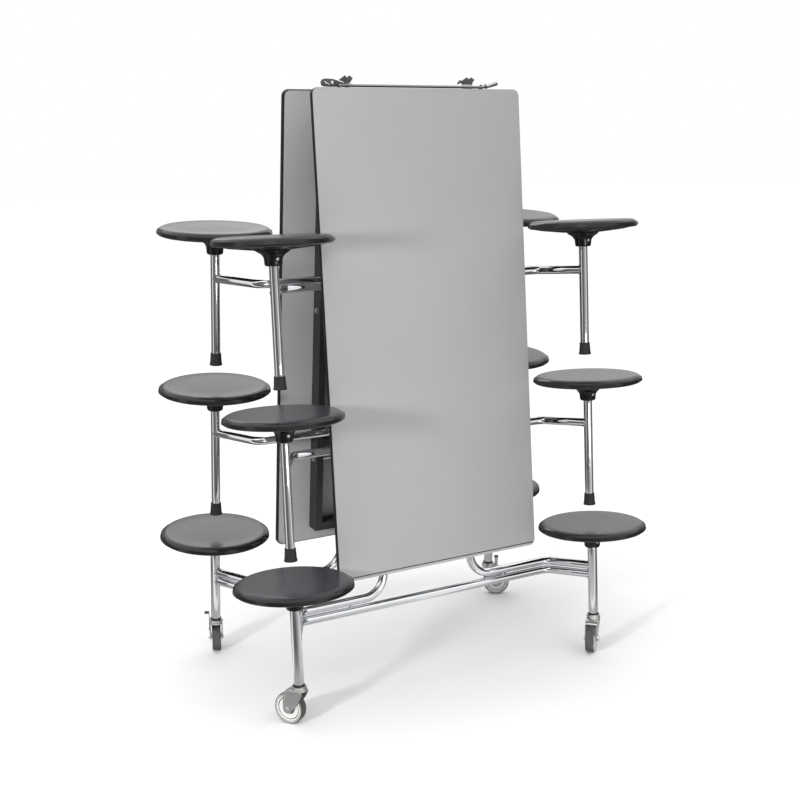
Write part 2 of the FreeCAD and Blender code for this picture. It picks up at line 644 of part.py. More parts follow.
def fork(name):
    """Fork about the swivel axis, trailing along +X."""
    side = [(-19, 113), (-22, 104), (-12, 86), (12, 50), (18, 40), (26, 35.5), (38, 35.5), (45, 42), (47, 52),
            (47, 98), (43, 106), (34, 110), (22, 113)]
    legs = []
    for s in (-1, 1):
        ya = FG / 2 if s > 0 else -FG / 2 - FT
        o = doc.addObject("Part::Extrusion", "%s_leg%d" % (name, s))
        w = doc.addObject("Part::Polygon", "%s_legline%d" % (name, s))
        w.Nodes = [V(x, ya, z) for x, z in side]
        w.Close = True
        o.Base, o.Dir, o.DirMode, o.LengthFwd, o.Solid = w, V(0, 1, 0), "Custom", FT, True
        legs.append(o)
    yoke = box(name + "_yoke", (-19, -FG / 2 - FT, 109), (24, FG / 2 + FT, 113))
    cowl = box(name + "_cowl", (23, -FG / 2 - FT, 104.5), (43, FG / 2 + FT, 108.5))
    step = box(name + "_step", (22, -FG / 2 - FT, 105), (26, FG / 2 + FT, 112))
    disc = cyl(name + "_disc", (0, 0, 109), (0, 0, 1), 23, 8)
    b = fuse(name + "_blank", legs + [yoke, cowl, step, disc])
    holes = [cyl(name + "_kinghole", (0, 0, 100), (0, 0, 1), 5.06, 30),
             cyl(name + "_axlehole", (TR, -40, 50), (0, 1, 0), S("axle_radius"), 80)]
    f = cut(name + "_fork", b, fuse(name + "_holes", holes))
    ax = cyl(name + "_axle", (TR, -FG / 2 - FT - 4, 50), (0, 1, 0), S("axle_radius"), FG + 2 * FT + 8, D("axle_radius"))
    hd = cyl(name + "_head", (TR, -FG / 2 - FT - 5, 50), (0, 1, 0), 9, 5)
    nt = cyl(name + "_nut", (TR, FG / 2 + FT, 50), (0, 1, 0), 9, 6)
    return group(name, [f, fuse(name + "_bolt", [ax, hd, nt])])


def wheel(name):
    """Tyre and core about the Z axis, later laid on the axle."""
    Wd, Cr = S("wheel_width") / 2, S("core_radius")
    tyre = revolved(name + "_tyre", [(Cr, -Wd + 2), (WR - 6, -Wd, (WR - 3, -Wd + 1.3)), (WR - 2, -Wd + 4), (WR - 0.6, -6, (WR, 0)),
                                     (WR - 0.6, 6), (WR - 2, Wd - 4, (WR - 3, Wd - 1.3)), (WR - 6, Wd), (Cr, Wd - 2)])
    a = S("axle_radius") + 0.05
    core = revolved(name + "_core", [(a, -17), (12, -17), (14, -12), (24, -8), (27, -11), (33, -12), (Cr, -Wd + 2),
                                     (Cr, Wd - 2), (33, 12), (27, 11), (24, 8), (14, 12), (12, 17), (a, 17)])
    g = group(name, [tyre, core])
    g.Placement = FreeCAD.Placement(V(TR, 0, 50), FreeCAD.Rotation(V(1, 0, 0), 90))
    return g


def pedal(name):
    """Brake lever beside the fork: turns about a pin above the axle, its foot tab at the top."""
    ya = FG / 2 + FT + 0.6
    o = doc.addObject("Part::Extrusion", "%s_plate" % name)
    w = doc.addObject("Part::Polygon", "%s_line" % name)
    w.Nodes = [V(x, ya, z) for x, z in [(27, 72), (32, 68), (38, 68), (43, 73), (43, 84), (38, 104), (38, 138), (26, 138), (26, 104), (27, 88)]]
    w.Close = True
    o.Base, o.Dir, o.DirMode, o.LengthFwd, o.Solid = w, V(0, 1, 0), "Custom", 2.5, True
    tab = box(name + "_tab", (24, ya, 135), (40, ya + 17, 138))
    lip = box(name + "_lip", (24, ya + 14.5, 135), (40, ya + 17, 142))
    blank = fuse(name + "_blank", [o, tab, lip])
    return cut(name, blank, cyl(name + "_hole", (35, -60, 77), (0, 1, 0), 3.55, 120))


def pedal_pins(name):
    """Lever pin: rises from the fork's outer side, with a riveted head."""
    y = FG / 2 + FT
    return [cyl(name + "_shank", (35, y - 1, 77), (0, 1, 0), 3.5, 6.2),
            cyl(name + "_rivet", (35, y + 3.6, 77), (0, 1, 0), 6, 1.6)]


keep("front_caster_stems", caster_stems("front_caster_stems"))


def caster_place(corner):
    """The swivel axis is upright when folded; the trail direction is given about Z."""
    s = -1 if corner.endswith("left") else 1
    y = POST_END.y if corner.startswith("front") else -POST_END.y
    return FreeCAD.Placement(V(s * SX, y, 0), FreeCAD.Rotation(V(0, 0, 1), TRAIL[corner]))


for corner in ("front_left", "front_right", "back_left", "back_right"):
    pl = caster_place(corner)
    n = corner + "_caster_fork"
    f = fork(n)
    if corner.startswith("back"):
        base = f.Links[0]
        f.Links = [fuse(n + "_with_pins", [base] + pedal_pins(n + "_pin")), f.Links[1]]
        pn = corner + "_brake_pedal"
        keep(pn, at(pedal(pn), pl))
    keep(n, at(f, pl))
    n = corner + "_wheel"
    keep(n, at(wheel(n), pl))

doc.recompute()

# ------------------------------------------------------ the back half
PAIRS = [("front_tabletop", "back_tabletop"), ("front_edge_band", "back_edge_band"),
         ("back_underframe_src", "back_underframe"), ("underframe_screws_src", "back_underframe_fasteners"),
         ("front_leg_frame", "back_leg_frame"), ("front_leg_seat_hubs", "back_leg_seat_hubs"),
         ("front_leg_fasteners", "back_leg_fasteners"), ("front_caster_stems", "back_caster_stems"),
         ("front_link_bars", "back_link_bars")]
for pos in ("top", "mid"):
    for part in ("stool_frame", "seat_hubs", "fasteners", "feet"):
        PAIRS.append(("front_%s_%s" % (pos, part), "back_%s_%s" % (pos, part)))
for pos in ("top", "mid", "leg"):
    for side in SIDES:
        PAIRS.append(("front_%s_%s_seat" % (pos, side), "back_%s_%s_seat" % (pos, side)))
for a, b in PAIRS:
    mirror(b, made[a])
del made["back_underframe_src"], made["underframe_screws_src"]
doc.recompute()

# ------------------------------------------------------ checks and output
bad = [o.Name for o in doc.Objects if "Invalid" in o.State or "Error" in o.State]
if bad:
    print("failed objects:", bad)
    sys.exit(3)
for n, o in sorted(made.items()):
    s = o.Shape
    if s.isNull() or not s.isValid() or not s.Solids:
        print("bad shape:", n, s.isNull(), None if s.isNull() else s.isValid())
        sys.exit(3)
if len(made) > 60:
    print("too many nodes:", len(made))
    sys.exit(3)
os.makedirs("parts", exist_ok=True)
for f in os.listdir("parts"):
    if f.endswith(".step"):
        os.remove(os.path.join("parts", f))
lo = V(1e9, 1e9, 1e9)
hi = V(-1e9, -1e9, -1e9)
for n, o in sorted(made.items()):
    s = o.Shape
    s.exportStep("parts/%s.step" % n)
    b = s.BoundBox
    lo = V(min(lo.x, b.XMin), min(lo.y, b.YMin), min(lo.z, b.ZMin))
    hi = V(max(hi.x, b.XMax), max(hi.y, b.YMax), max(hi.z, b.ZMax))
    print("%-28s solids %2d  volume %10.0f  z %.2f..%.2f" % (n, len(s.Solids), s.Volume, b.ZMin, b.ZMax))
print("nodes", len(made), "box", [round(v, 2) for v in (lo.x, lo.y, lo.z, hi.x, hi.y, hi.z)])
print("fold pivot", round(fy, 3), round(fz, 3), "q fold", [round(v, 3) for v in q_fold], "q open", [round(v, 3) for v in q_open])
for k, p in PLACES.items():
    q = p.multVec(V(0, PI, PH)); r = p.multVec(V(0, PI + LI, PH - LD)); t = p.multVec(V(0, 0, S("seat_height")))
    print(k, "foot", [round(v, 3) for v in p.Base], "pivot", [round(v, 3) for v in q], "link", [round(v, 3) for v in r], "seat", [round(v, 3) for v in t])
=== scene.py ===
import bpy, bmesh, math, random
from mathutils import Vector, Matrix

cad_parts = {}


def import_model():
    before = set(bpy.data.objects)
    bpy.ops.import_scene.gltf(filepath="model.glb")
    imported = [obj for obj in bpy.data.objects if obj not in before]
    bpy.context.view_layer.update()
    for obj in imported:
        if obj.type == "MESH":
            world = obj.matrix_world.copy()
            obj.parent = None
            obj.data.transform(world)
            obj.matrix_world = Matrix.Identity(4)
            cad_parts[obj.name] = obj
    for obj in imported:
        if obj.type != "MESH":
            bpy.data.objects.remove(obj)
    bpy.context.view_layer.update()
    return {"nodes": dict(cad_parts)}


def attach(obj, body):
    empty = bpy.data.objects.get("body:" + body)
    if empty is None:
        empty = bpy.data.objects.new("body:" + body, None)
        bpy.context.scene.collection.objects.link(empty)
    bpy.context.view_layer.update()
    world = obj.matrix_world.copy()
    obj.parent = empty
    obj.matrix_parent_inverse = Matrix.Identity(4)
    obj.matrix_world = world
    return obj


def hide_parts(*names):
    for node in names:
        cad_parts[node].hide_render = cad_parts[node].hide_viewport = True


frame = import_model()
NODES = frame["nodes"]
scene = bpy.context.scene

# ------------------------------------------------------------------ placement
# Local geometry is written in millimetres and scaled at the end.
MM = Matrix.Scale(0.001, 4)
MIRROR = Matrix.Diagonal((1, -1, 1, 1))
LEAN, TILT = math.radians(4.93), math.radians(3.7)
PANEL = Matrix.Translation((0, -106, 1906.9)) @ Matrix.Rotation(-LEAN, 4, "X")


def frame_place(u):
    p = PANEL @ Vector((0, 48, -u))
    rot = Matrix.Rotation(-TILT, 4, "X")
    off = rot @ Vector((0, 123.5, 697))
    return Matrix.Translation((0, p.y - off.y, p.z - off.z)) @ rot


PLACES = {"top": frame_place(185), "mid": frame_place(705), "leg": frame_place(1217)}
HALVES = {"front": Matrix.Identity(4), "back": MIRROR}
SX = 571.0


# ------------------------------------------------------------------ mesh tools
def fillet(pts, radii, seg=10):
    """Polyline with its inner corners rounded. radii has one value per inner corner."""
    pts = [Vector(p) for p in pts]
    out = [pts[0]]
    for i in range(1, len(pts) - 1):
        a, b, c = pts[i - 1], pts[i], pts[i + 1]
        d1, d2 = (a - b).normalized(), (c - b).normalized()
        ang = d1.angle(d2)
        r = radii[i - 1]
        if r < 1e-6 or ang > math.pi - 1e-3:
            out.append(b)
            continue
        t = r / math.tan(ang / 2)
        bis = (d1 + d2).normalized()
        cen = b + bis * (r / math.sin(ang / 2))
        s, e = b + d1 * t - cen, b + d2 * t - cen
        tot = s.angle(e)
        n = max(2, int(round(seg * tot / (math.pi / 2))))
        for k in range(n + 1):
            f = k / n
            out.append(cen + (s * math.sin((1 - f) * tot) + e * math.sin(f * tot)) / math.sin(tot))
    out.append(pts[-1])
    return out


def fillet_closed(pts, r, seg=6):
    """Closed outline with every corner rounded."""
    pts = [Vector(p) for p in pts]
    n = len(pts)
    out = []
    for i in range(n):
        ri = r[i] if hasattr(r, "__len__") else r
        out += fillet([pts[i - 1], pts[i], pts[(i + 1) % n]], [ri], seg)[1:-1]
    return out


def split_runs(path, step):
    """Adds points on the straight runs so that shading stays even."""
    out = [path[0]]
    for a, b in zip(path, path[1:]):
        n = max(1, int((b - a).length / step))
        out += [a.lerp(b, (k + 1) / n) for k in range(n)]
    return out


def bm_tube(path, r, seg=40, cap=1.2, rfun=None):
    bm = bmesh.new()
    path = split_runs([Vector(p) for p in path], 60)
    # a rounded end: the first and last rings are smaller
    def end(p, q):
        d = (q - p).normalized()
        return [(p, r - cap), (p + d * cap * 0.3, r - cap * 0.3), (p + d * cap, r)]
    pts = end(path[0], path[1]) + [(p, r) for p in path[1:-1]] + end(path[-1], path[-2])[::-1]
    P = [p for p, _ in pts]
    t0 = (P[1] - P[0]).normalized()
    up = Vector((0, 0, 1)) if abs(t0.z) < 0.9 else Vector((1, 0, 0))
    n = (up - t0 * up.dot(t0)).normalized()
    rings, prev = [], t0
    for i, (p, rr) in enumerate(pts):
        if i == 0 or i == len(pts) - 1:
            t = (P[min(i + 1, len(P) - 1)] - P[max(i - 1, 0)]).normalized()
        else:
            t = ((P[i + 1] - P[i]).normalized() + (P[i] - P[i - 1]).normalized()).normalized()
        q = prev.rotation_difference(t)
        n = (q @ n)
        n = (n - t * n.dot(t)).normalized()
        prev = t
        b = t.cross(n)
        rings.append([bm.verts.new(p + (n * math.cos(a) + b * math.sin(a)) * rr)
                      for a in (2 * math.pi * k / seg for k in range(seg))])
    for A, Bq in zip(rings, rings[1:]):
        for k in range(seg):
            bm.faces.new((A[k], A[(k + 1) % seg], Bq[(k + 1) % seg], Bq[k]))
    bm.faces.new(rings[0][::-1])
    bm.faces.new(rings[-1])
    return bm


def bm_lathe(prof, seg=64, closed=False):
    """Profile of (r, z) turned about Z."""
    bm = bmesh.new()
    rings = []
    for r, z in prof:
        if r < 1e-6:
            rings.append([bm.verts.new((0, 0, z))])
        else:
            rings.append([bm.verts.new((r * math.cos(2 * math.pi * k / seg), r * math.sin(2 * math.pi * k / seg), z))
                          for k in range(seg)])
    pairs = list(zip(rings, rings[1:])) + ([(rings[-1], rings[0])] if closed else [])
    for A, Bq in pairs:
        if len(A) == 1 and len(Bq) == 1:
            continue
        for k in range(seg):
            k2 = (k + 1) % seg
            if len(A) == 1:
                bm.faces.new((A[0], Bq[k2], Bq[k]))
            elif len(Bq) == 1:
                bm.faces.new((A[k], A[k2], Bq[0]))
            else:
                bm.faces.new((A[k], A[k2], Bq[k2], Bq[k]))
    return bm


def rprof(pts, radii, seg=6):
    """A lathe profile with rounded corners, from (r, z) points."""
    return [(max(0.0, p.x), p.z) for p in fillet([(r, 0, z) for r, z in pts], radii, seg)]


def bm_prism(outline, axis, lo, hi, bevel=0.8, seg=2):
    """Outline in the plane across axis, extruded from lo to hi, with bevelled rims."""
    bm = bmesh.new()
    def at(p, h):
        return {"X": (h, p[0], p[1]), "Y": (p[0], h, p[1]), "Z": (p[0], p[1], h)}[axis]
    A = [bm.verts.new(at(p, lo)) for p in outline]
    Bq = [bm.verts.new(at(p, hi)) for p in outline]
    n = len(A)
    fa = bm.faces.new(A)
    fb = bm.faces.new(Bq[::-1])
    for k in range(n):
        bm.faces.new((A[k], Bq[k], Bq[(k + 1) % n], A[(k + 1) % n]))
    bmesh.ops.recalc_face_normals(bm, faces=bm.faces)
    if bevel:
        edges = list({e for f in (fa, fb) for e in f.edges})
        bmesh.ops.bevel(bm, geom=edges, offset=bevel, segments=seg, affect="EDGES", profile=0.5)
    return bm


def bm_box(lo, hi, bevel=0.8, seg=2):
    bm = bmesh.new()
    bmesh.ops.create_cube(bm, size=1.0)
    lo, hi = Vector(lo), Vector(hi)
    for v in bm.verts:
        v.co = Vector([lo[i] + (v.co[i] + 0.5) * (hi[i] - lo[i]) for i in range(3)])
    if bevel:
        bmesh.ops.bevel(bm, geom=list(bm.edges), offset=bevel, segments=seg, affect="EDGES", profile=0.5)
    return bm


def stadium2(a, b, w, n=12):
    a, b = Vector(a), Vector(b)
    d = (b - a).normalized()
    s = Vector((-d.y, d.x))
    out = []
    for c, sg in ((b, 1), (a, -1)):
        for k in range(n + 1):
            t = math.pi * (k / n) - math.pi / 2
            out.append(c + (d * math.cos(t) + s * math.sin(t)) * (w / 2) * sg)
    return [(p.x, p.y) for p in out]


def bm_disc_relief(rad, height, depth, shape, rings=22, seg=72, skirt=0.0):
    """Domed screw head about Z with a recess: shape(x, y) gives 0 outside to 1 inside it."""
    bm = bmesh.new()
    prev = None
    centre = bm.verts.new((0, 0, height - depth * shape(0, 0)))
    for i in range(1, rings + 1):
        r = rad * i / rings
        row = []
        for k in range(seg):
            a = 2 * math.pi * k / seg
            x, y = r * math.cos(a), r * math.sin(a)
            z = height * math.sqrt(max(0.0, 1 - 0.82 * (r / rad) ** 3))
            row.append(bm.verts.new((x, y, z - depth * shape(x, y))))
        for k in range(seg):
            k2 = (k + 1) % seg
            if prev is None:
                bm.faces.new((centre, row[k], row[k2]))
            else:
                bm.faces.new((prev[k], row[k], row[k2], prev[k2]))
        prev = row
    base = [bm.verts.new((rad * math.cos(2 * math.pi * k / seg), rad * math.sin(2 * math.pi * k / seg), -skirt))
            for k in range(seg)]
    for k in range(seg):
        bm.faces.new((prev[k], base[k], base[(k + 1) % seg], prev[(k + 1) % seg]))
    bm.faces.new(base[::-1])
    return bm


def cross_shape(w, l):
    def f(x, y):
        def bar(u, v):
            a = max(0.0, min(1.0, (w - abs(u)) / (w * 0.35)))
            b = max(0.0, min(1.0, (l - abs(v)) / (l * 0.25)))
            return a * b
        return max(bar(x, y), bar(y, x))
    return f


def socket_shape(r):
    def f(x, y):
        a = math.atan2(y, x) % (math.pi / 3) - math.pi / 6
        d = math.hypot(x, y) * math.cos(a)
        return max(0.0, min(1.0, (r - d) / (r * 0.18)))
    return f


def bm_hex(af, h, cham=0.9, bore=None):
    """Hex nut or bolt head about Z from 0 to h, its faces af apart."""
    bm = bmesh.new()
    R = af / math.sqrt(3)
    n = 48
    def ring(z, lim):
        out = []
        for k in range(n):
            a = 2 * math.pi * k / n
            d = (af / 2) / math.cos((a % (math.pi / 3)) - math.pi / 6)
            d = min(d, lim)
            out.append(bm.verts.new((d * math.cos(a), d * math.sin(a), z)))
        return out
    rows = [ring(0, af / 2 * 1.02), ring(cham * 0.6, R), ring(h - cham, R), ring(h, af / 2 * 0.99)]
    for A, Bq in zip(rows, rows[1:]):
        for k in range(n):
            bm.faces.new((A[k], A[(k + 1) % n], Bq[(k + 1) % n], Bq[k]))
    bm.faces.new(rows[0][::-1])
    bm.faces.new(rows[-1])
    return bm


def bm_bead(points, normals, r, seed=1):
    """Closed weld bead through points; its ripples lie like overlapped coins."""
    rnd = random.Random(seed)
    bm = bmesh.new()
    n, seg = len(points), 10
    rings = []
    for i in range(n):
        p, q, o = points[i], points[(i + 1) % n], points[i - 1]
        t = (q - o).normalized()
        a = normals[i]
        a = (a - t * a.dot(t)).normalized()
        b = t.cross(a)
        rr = r * (1 + 0.10 * math.sin(i * 2 * math.pi / 5) + rnd.uniform(-0.05, 0.05))
        rings.append([bm.verts.new(p + (a * math.cos(2 * math.pi * k / seg) + b * math.sin(2 * math.pi * k / seg)) * rr)
                      for k in range(seg)])
    for i in range(n):
        A, Bq = rings[i], rings[(i + 1) % n]
        for k in range(seg):
            bm.faces.new((A[k], A[(k + 1) % seg], Bq[(k + 1) % seg], Bq[k]))
    return bm


def bead_on_post(px, tube_r, post_r, start, direction, size=2.2, seed=1, n=90):
    """Bead where a tube leaves an upright post. The post's axis is x=px, y=0."""
    d = Vector(direction).normalized()
    u = d.cross(Vector((0, 0, 1))).normalized()
    w = d.cross(u)
    pts, nor = [], []
    for k in range(n):
        a = 2 * math.pi * k / n
        off = (u * math.cos(a) + w * math.sin(a)) * (tube_r + size * 0.25)
        o = Vector(start) + off
        # far crossing of the ray with the post's cylinder, a little outside its skin
        R = post_r + size * 0.2
        ax, ay = o.x - px, o.y
        A = d.x * d.x + d.y * d.y
        Bq = 2 * (ax * d.x + ay * d.y)
        C = ax * ax + ay * ay - R * R
        disc = Bq * Bq - 4 * A * C
        t = (-Bq + math.sqrt(disc)) / (2 * A) if disc > 0 else -Bq / (2 * A)
        p = o + d * t
        pts.append(p)
        nor.append((off.normalized() + Vector((p.x - px, p.y, 0)).normalized() * 0.6).normalized())
    return bm_bead(pts, nor, size, seed)


class Piece:
    def __init__(self, name):
        self.name, self.bm = name, bmesh.new()

    def add(self, bm, mat=0, M=None, flip=False):
        if M is not None:
            bmesh.ops.transform(bm, matrix=M, verts=bm.verts)
        bmesh.ops.recalc_face_normals(bm, faces=bm.faces)
        for f in bm.faces:
            f.material_index, f.smooth = mat, True
        me = bpy.data.meshes.new("tmp")
        bm.to_mesh(me)
        bm.free()
        self.bm.from_mesh(me)
        bpy.data.meshes.remove(me)

    def done(self, body, M, mats, nodes=(), sharp=38):
        T = MM @ M
        bmesh.ops.transform(self.bm, matrix=T, verts=self.bm.verts)
        if T.determinant() < 0:
            bmesh.ops.reverse_faces(self.bm, faces=self.bm.faces)
        me = bpy.data.meshes.new(self.name)
        self.bm.to_mesh(me)
        self.bm.free()
        me.set_sharp_from_angle(angle=math.radians(sharp))
        ob = bpy.data.objects.new(self.name, me)
        scene.collection.objects.link(ob)
        for m in mats:
            me.materials.append(m)
        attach(ob, body)
        if nodes:
            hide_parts(*nodes)
        return ob


# ------------------------------------------------------------------ materials
class Mat:
    """A node material about one Principled shader."""
    def __init__(self, name, **const):
        self.m = bpy.data.materials.new(name)
        self.m.use_nodes = True
        self.nt = self.m.node_tree
        self.nt.nodes.clear()
        self.out = self.nt.nodes.new("ShaderNodeOutputMaterial")
        self.p = self.nt.nodes.new("ShaderNodeBsdfPrincipled")
        self.nt.links.new(self.p.outputs[0], self.out.inputs[0])
        for k, v in const.items():
            self.p.inputs[k.replace("_", " ")].default_value = v
        self.tc = self.nt.nodes.new("ShaderNodeTexCoord")
        self.bump_last = None

    def node(self, kind, **kw):
        n = self.nt.nodes.new(kind)
        for k, v in kw.items():
            if k.startswith("_"):
                n.inputs[k[1:].replace("_", " ")].default_value = v
            else:
                setattr(n, k, v)
        return n

    def link(self, a, b):
        self.nt.links.new(a, b)

    def coords(self, scale=(1, 1, 1)):
        mp = self.node("ShaderNodeMapping")
        mp.inputs["Scale"].default_value = scale
        self.link(self.tc.outputs["Object"], mp.inputs["Vector"])
        return mp.outputs["Vector"]

    def noise(self, scale, detail=4.0, rough=0.55, stretch=(1, 1, 1), dist=0.0):
        n = self.node("ShaderNodeTexNoise", _Scale=scale, _Detail=detail, _Roughness=rough, _Distortion=dist)
        self.link(self.coords(stretch), n.inputs["Vector"])
        return n.outputs["Fac"]

    def voronoi(self, scale, feature="F1", stretch=(1, 1, 1)):
        n = self.node("ShaderNodeTexVoronoi", feature=feature, _Scale=scale)
        self.link(self.coords(stretch), n.inputs["Vector"])
        return n.outputs["Distance"]

    def span(self, fac, a, b, lo=0.0, hi=1.0):
        n = self.node("ShaderNodeMapRange")
        n.inputs["From Min"].default_value, n.inputs["From Max"].default_value = a, b
        n.inputs["To Min"].default_value, n.inputs["To Max"].default_value = lo, hi
        self.link(fac, n.inputs["Value"])
        return n.outputs["Result"]

    def mix(self, fac, c1, c2, mode="MIX"):
        n = self.node("ShaderNodeMix", data_type="RGBA", blend_type=mode)
        if hasattr(fac, "is_linked"):
            self.link(fac, n.inputs[0])
        else:
            n.inputs[0].default_value = fac
        for sock, c in ((n.inputs[6], c1), (n.inputs[7], c2)):
            if hasattr(c, "is_linked"):
                self.link(c, sock)
            else:
                sock.default_value = (*c, 1.0)
        return n.outputs[2]

    def math(self, op, a, b=None):
        n = self.node("ShaderNodeMath", operation=op)
        for i, v in enumerate((a, b)):
            if v is None:
                continue
            if hasattr(v, "is_linked"):
                self.link(v, n.inputs[i])
            else:
                n.inputs[i].default_value = v
        return n.outputs[0]

    def bump(self, height, strength, distance):
        n = self.node("ShaderNodeBump", _Strength=strength, _Distance=distance)
        self.link(height, n.inputs["Height"])
        if self.bump_last is not None:
            self.link(self.bump_last, n.inputs["Normal"])
        self.bump_last = n.outputs["Normal"]
        self.link(n.outputs["Normal"], self.p.inputs["Normal"])

    def edge(self, radius=0.002, lo=0.55, hi=0.95):
        """1 on worn outer edges, 0 elsewhere, from the surface's own bend."""
        g = self.node("ShaderNodeNewGeometry")
        return self.span(g.outputs["Pointiness"], lo, hi)

    def col(self, sock):
        self.link(sock, self.p.inputs["Base Color"])

    def rough(self, sock):
        self.link(sock, self.p.inputs["Roughness"])


def laminate(name, base, dark):
    a = Mat(name, Specular_IOR_Level=0.35)
    big = a.noise(2.2, 3, 0.5)
    cloud = a.noise(9.0, 5, 0.6)
    speck = a.noise(900, 2, 0.6)
    c = a.mix(a.span(big, 0.35, 0.65), base, dark)
    c = a.mix(a.span(cloud, 0.45, 0.75, 0, 0.35), c, tuple(x * 0.965 for x in base))
    c = a.mix(a.span(speck, 0.56, 0.72, 0, 0.30), c, tuple(x * 0.86 for x in base))
    c = a.mix(a.span(a.noise(760, 2, 0.6, (1, 1, 1), 0.3), 0.60, 0.75, 0, 0.35), c, tuple(min(1, x * 1.12) for x in base))
    a.col(c)
    wipe = a.noise(5.0, 6, 0.6, (0.4, 1, 1.7), 1.2)
    scr = a.noise(60, 3, 0.5, (1, 1, 0.02))
    r = a.span(wipe, 0.3, 0.7, 0.40, 0.52)
    r = a.math("ADD", r, a.span(scr, 0.62, 0.8, 0, 0.06))
    a.rough(r)
    a.bump(a.noise(420, 3, 0.55), 0.06, 0.0006)
    a.bump(big, 0.04, 0.004)
    return a.m


def chrome(name, base=(0.80, 0.81, 0.83), rough=0.05):
    a = Mat(name, Metallic=1.0)
    sm = a.noise(14, 5, 0.6, (1, 1, 1), 0.6)
    fine = a.noise(160, 3, 0.6)
    c = a.mix(a.span(sm, 0.35, 0.8, 0, 0.5), base, tuple(x * 0.90 for x in base))
    c = a.mix(a.span(fine, 0.66, 0.8, 0, 0.4), c, tuple(x * 0.72 for x in base))
    a.col(c)
    a.rough(a.math("ADD", a.span(sm, 0.4, 0.8, rough, rough + 0.07), a.span(fine, 0.6, 0.8, 0, 0.05)))
    a.bump(a.noise(22, 2, 0.5, (1, 1, 0.35)), 0.05, 0.0012)
    return a.m


def zinc(name, base=(0.62, 0.62, 0.60), rough=0.26):
    a = Mat(name, Metallic=1.0)
    sm = a.noise(24, 5, 0.6)
    c = a.mix(a.span(sm, 0.35, 0.75), base, tuple(x * 0.82 for x in base))
    c = a.mix(a.span(a.edge(), 0.2, 1, 0, 0.5), c, tuple(min(1, x * 1.25) for x in base))
    a.col(c)
    a.rough(a.span(sm, 0.3, 0.8, rough, rough + 0.12))
    a.bump(a.noise(150, 3, 0.5), 0.05, 0.0004)
    return a.m


def paint(name, base, rough=0.42, wear=(0.30, 0.30, 0.30)):
    """Powder coat: orange peel, dust in the broad areas and rubbed edges."""
    a = Mat(name, Specular_IOR_Level=0.45)
    dust = a.noise(7, 5, 0.6, (1, 1, 1), 0.8)
    c = a.mix(a.span(dust, 0.42, 0.75, 0, 0.55), base, tuple(x * 1.35 + 0.006 for x in base))
    c = a.mix(a.math("MULTIPLY", a.span(a.edge(), 0.25, 1.0), a.span(a.noise(70, 4, 0.7), 0.45, 0.65, 0, 0.8)), c, wear)
    a.col(c)
    a.rough(a.span(dust, 0.3, 0.8, rough, rough + 0.16))
    a.bump(a.voronoi(420, "SMOOTH_F1"), 0.16, 0.0006)
    a.bump(a.noise(28, 3, 0.5), 0.06, 0.0015)
    return a.m


def plastic(name, base, rough=0.38, grain=900, strength=0.16, spec=0.5, cloud=0.10):
    """Moulded plastic with a fine spark-eroded grain and light rub marks."""
    a = Mat(name, Specular_IOR_Level=spec)
    big = a.noise(7, 4, 0.55, (1, 1, 1), 0.4)
    c = a.mix(a.span(big, 0.35, 0.75), base, tuple(x * (1 + cloud) for x in base))
    c = a.mix(a.span(a.noise(grain * 0.6, 2, 0.6), 0.58, 0.76, 0, 0.20), c, tuple(x * 1.4 + 0.002 for x in base))
    g = a.node("ShaderNodeNewGeometry")
    c = a.mix(a.span(g.outputs["Pointiness"], 0.54, 0.64, 0, 0.22), c, tuple(x * 1.5 + 0.004 for x in base))
    a.col(c)
    arc = a.noise(34, 4, 0.55, (1, 1, 0.2), 2.0)
    a.rough(a.math("ADD", a.span(big, 0.3, 0.75, rough, rough + 0.03), a.span(arc, 0.5, 0.8, 0, 0.012)))
    a.bump(a.noise(grain, 2, 0.6), strength, 0.0004)
    return a.m


def rubber(name, base, rough=0.62):
    a = Mat(name, Specular_IOR_Level=0.35)
    big = a.noise(30, 5, 0.65, (1, 1, 1), 0.4)
    c = a.mix(a.span(big, 0.40, 0.72), base, tuple(x * 1.30 + 0.004 for x in base))
    c = a.mix(a.span(a.noise(120, 4, 0.7), 0.60, 0.74, 0, 0.5), c, tuple(x * 0.72 for x in base))
    a.col(c)
    a.rough(a.span(big, 0.3, 0.8, rough, rough + 0.16))
    a.bump(a.noise(520, 3, 0.6), 0.20, 0.0005)
    return a.m


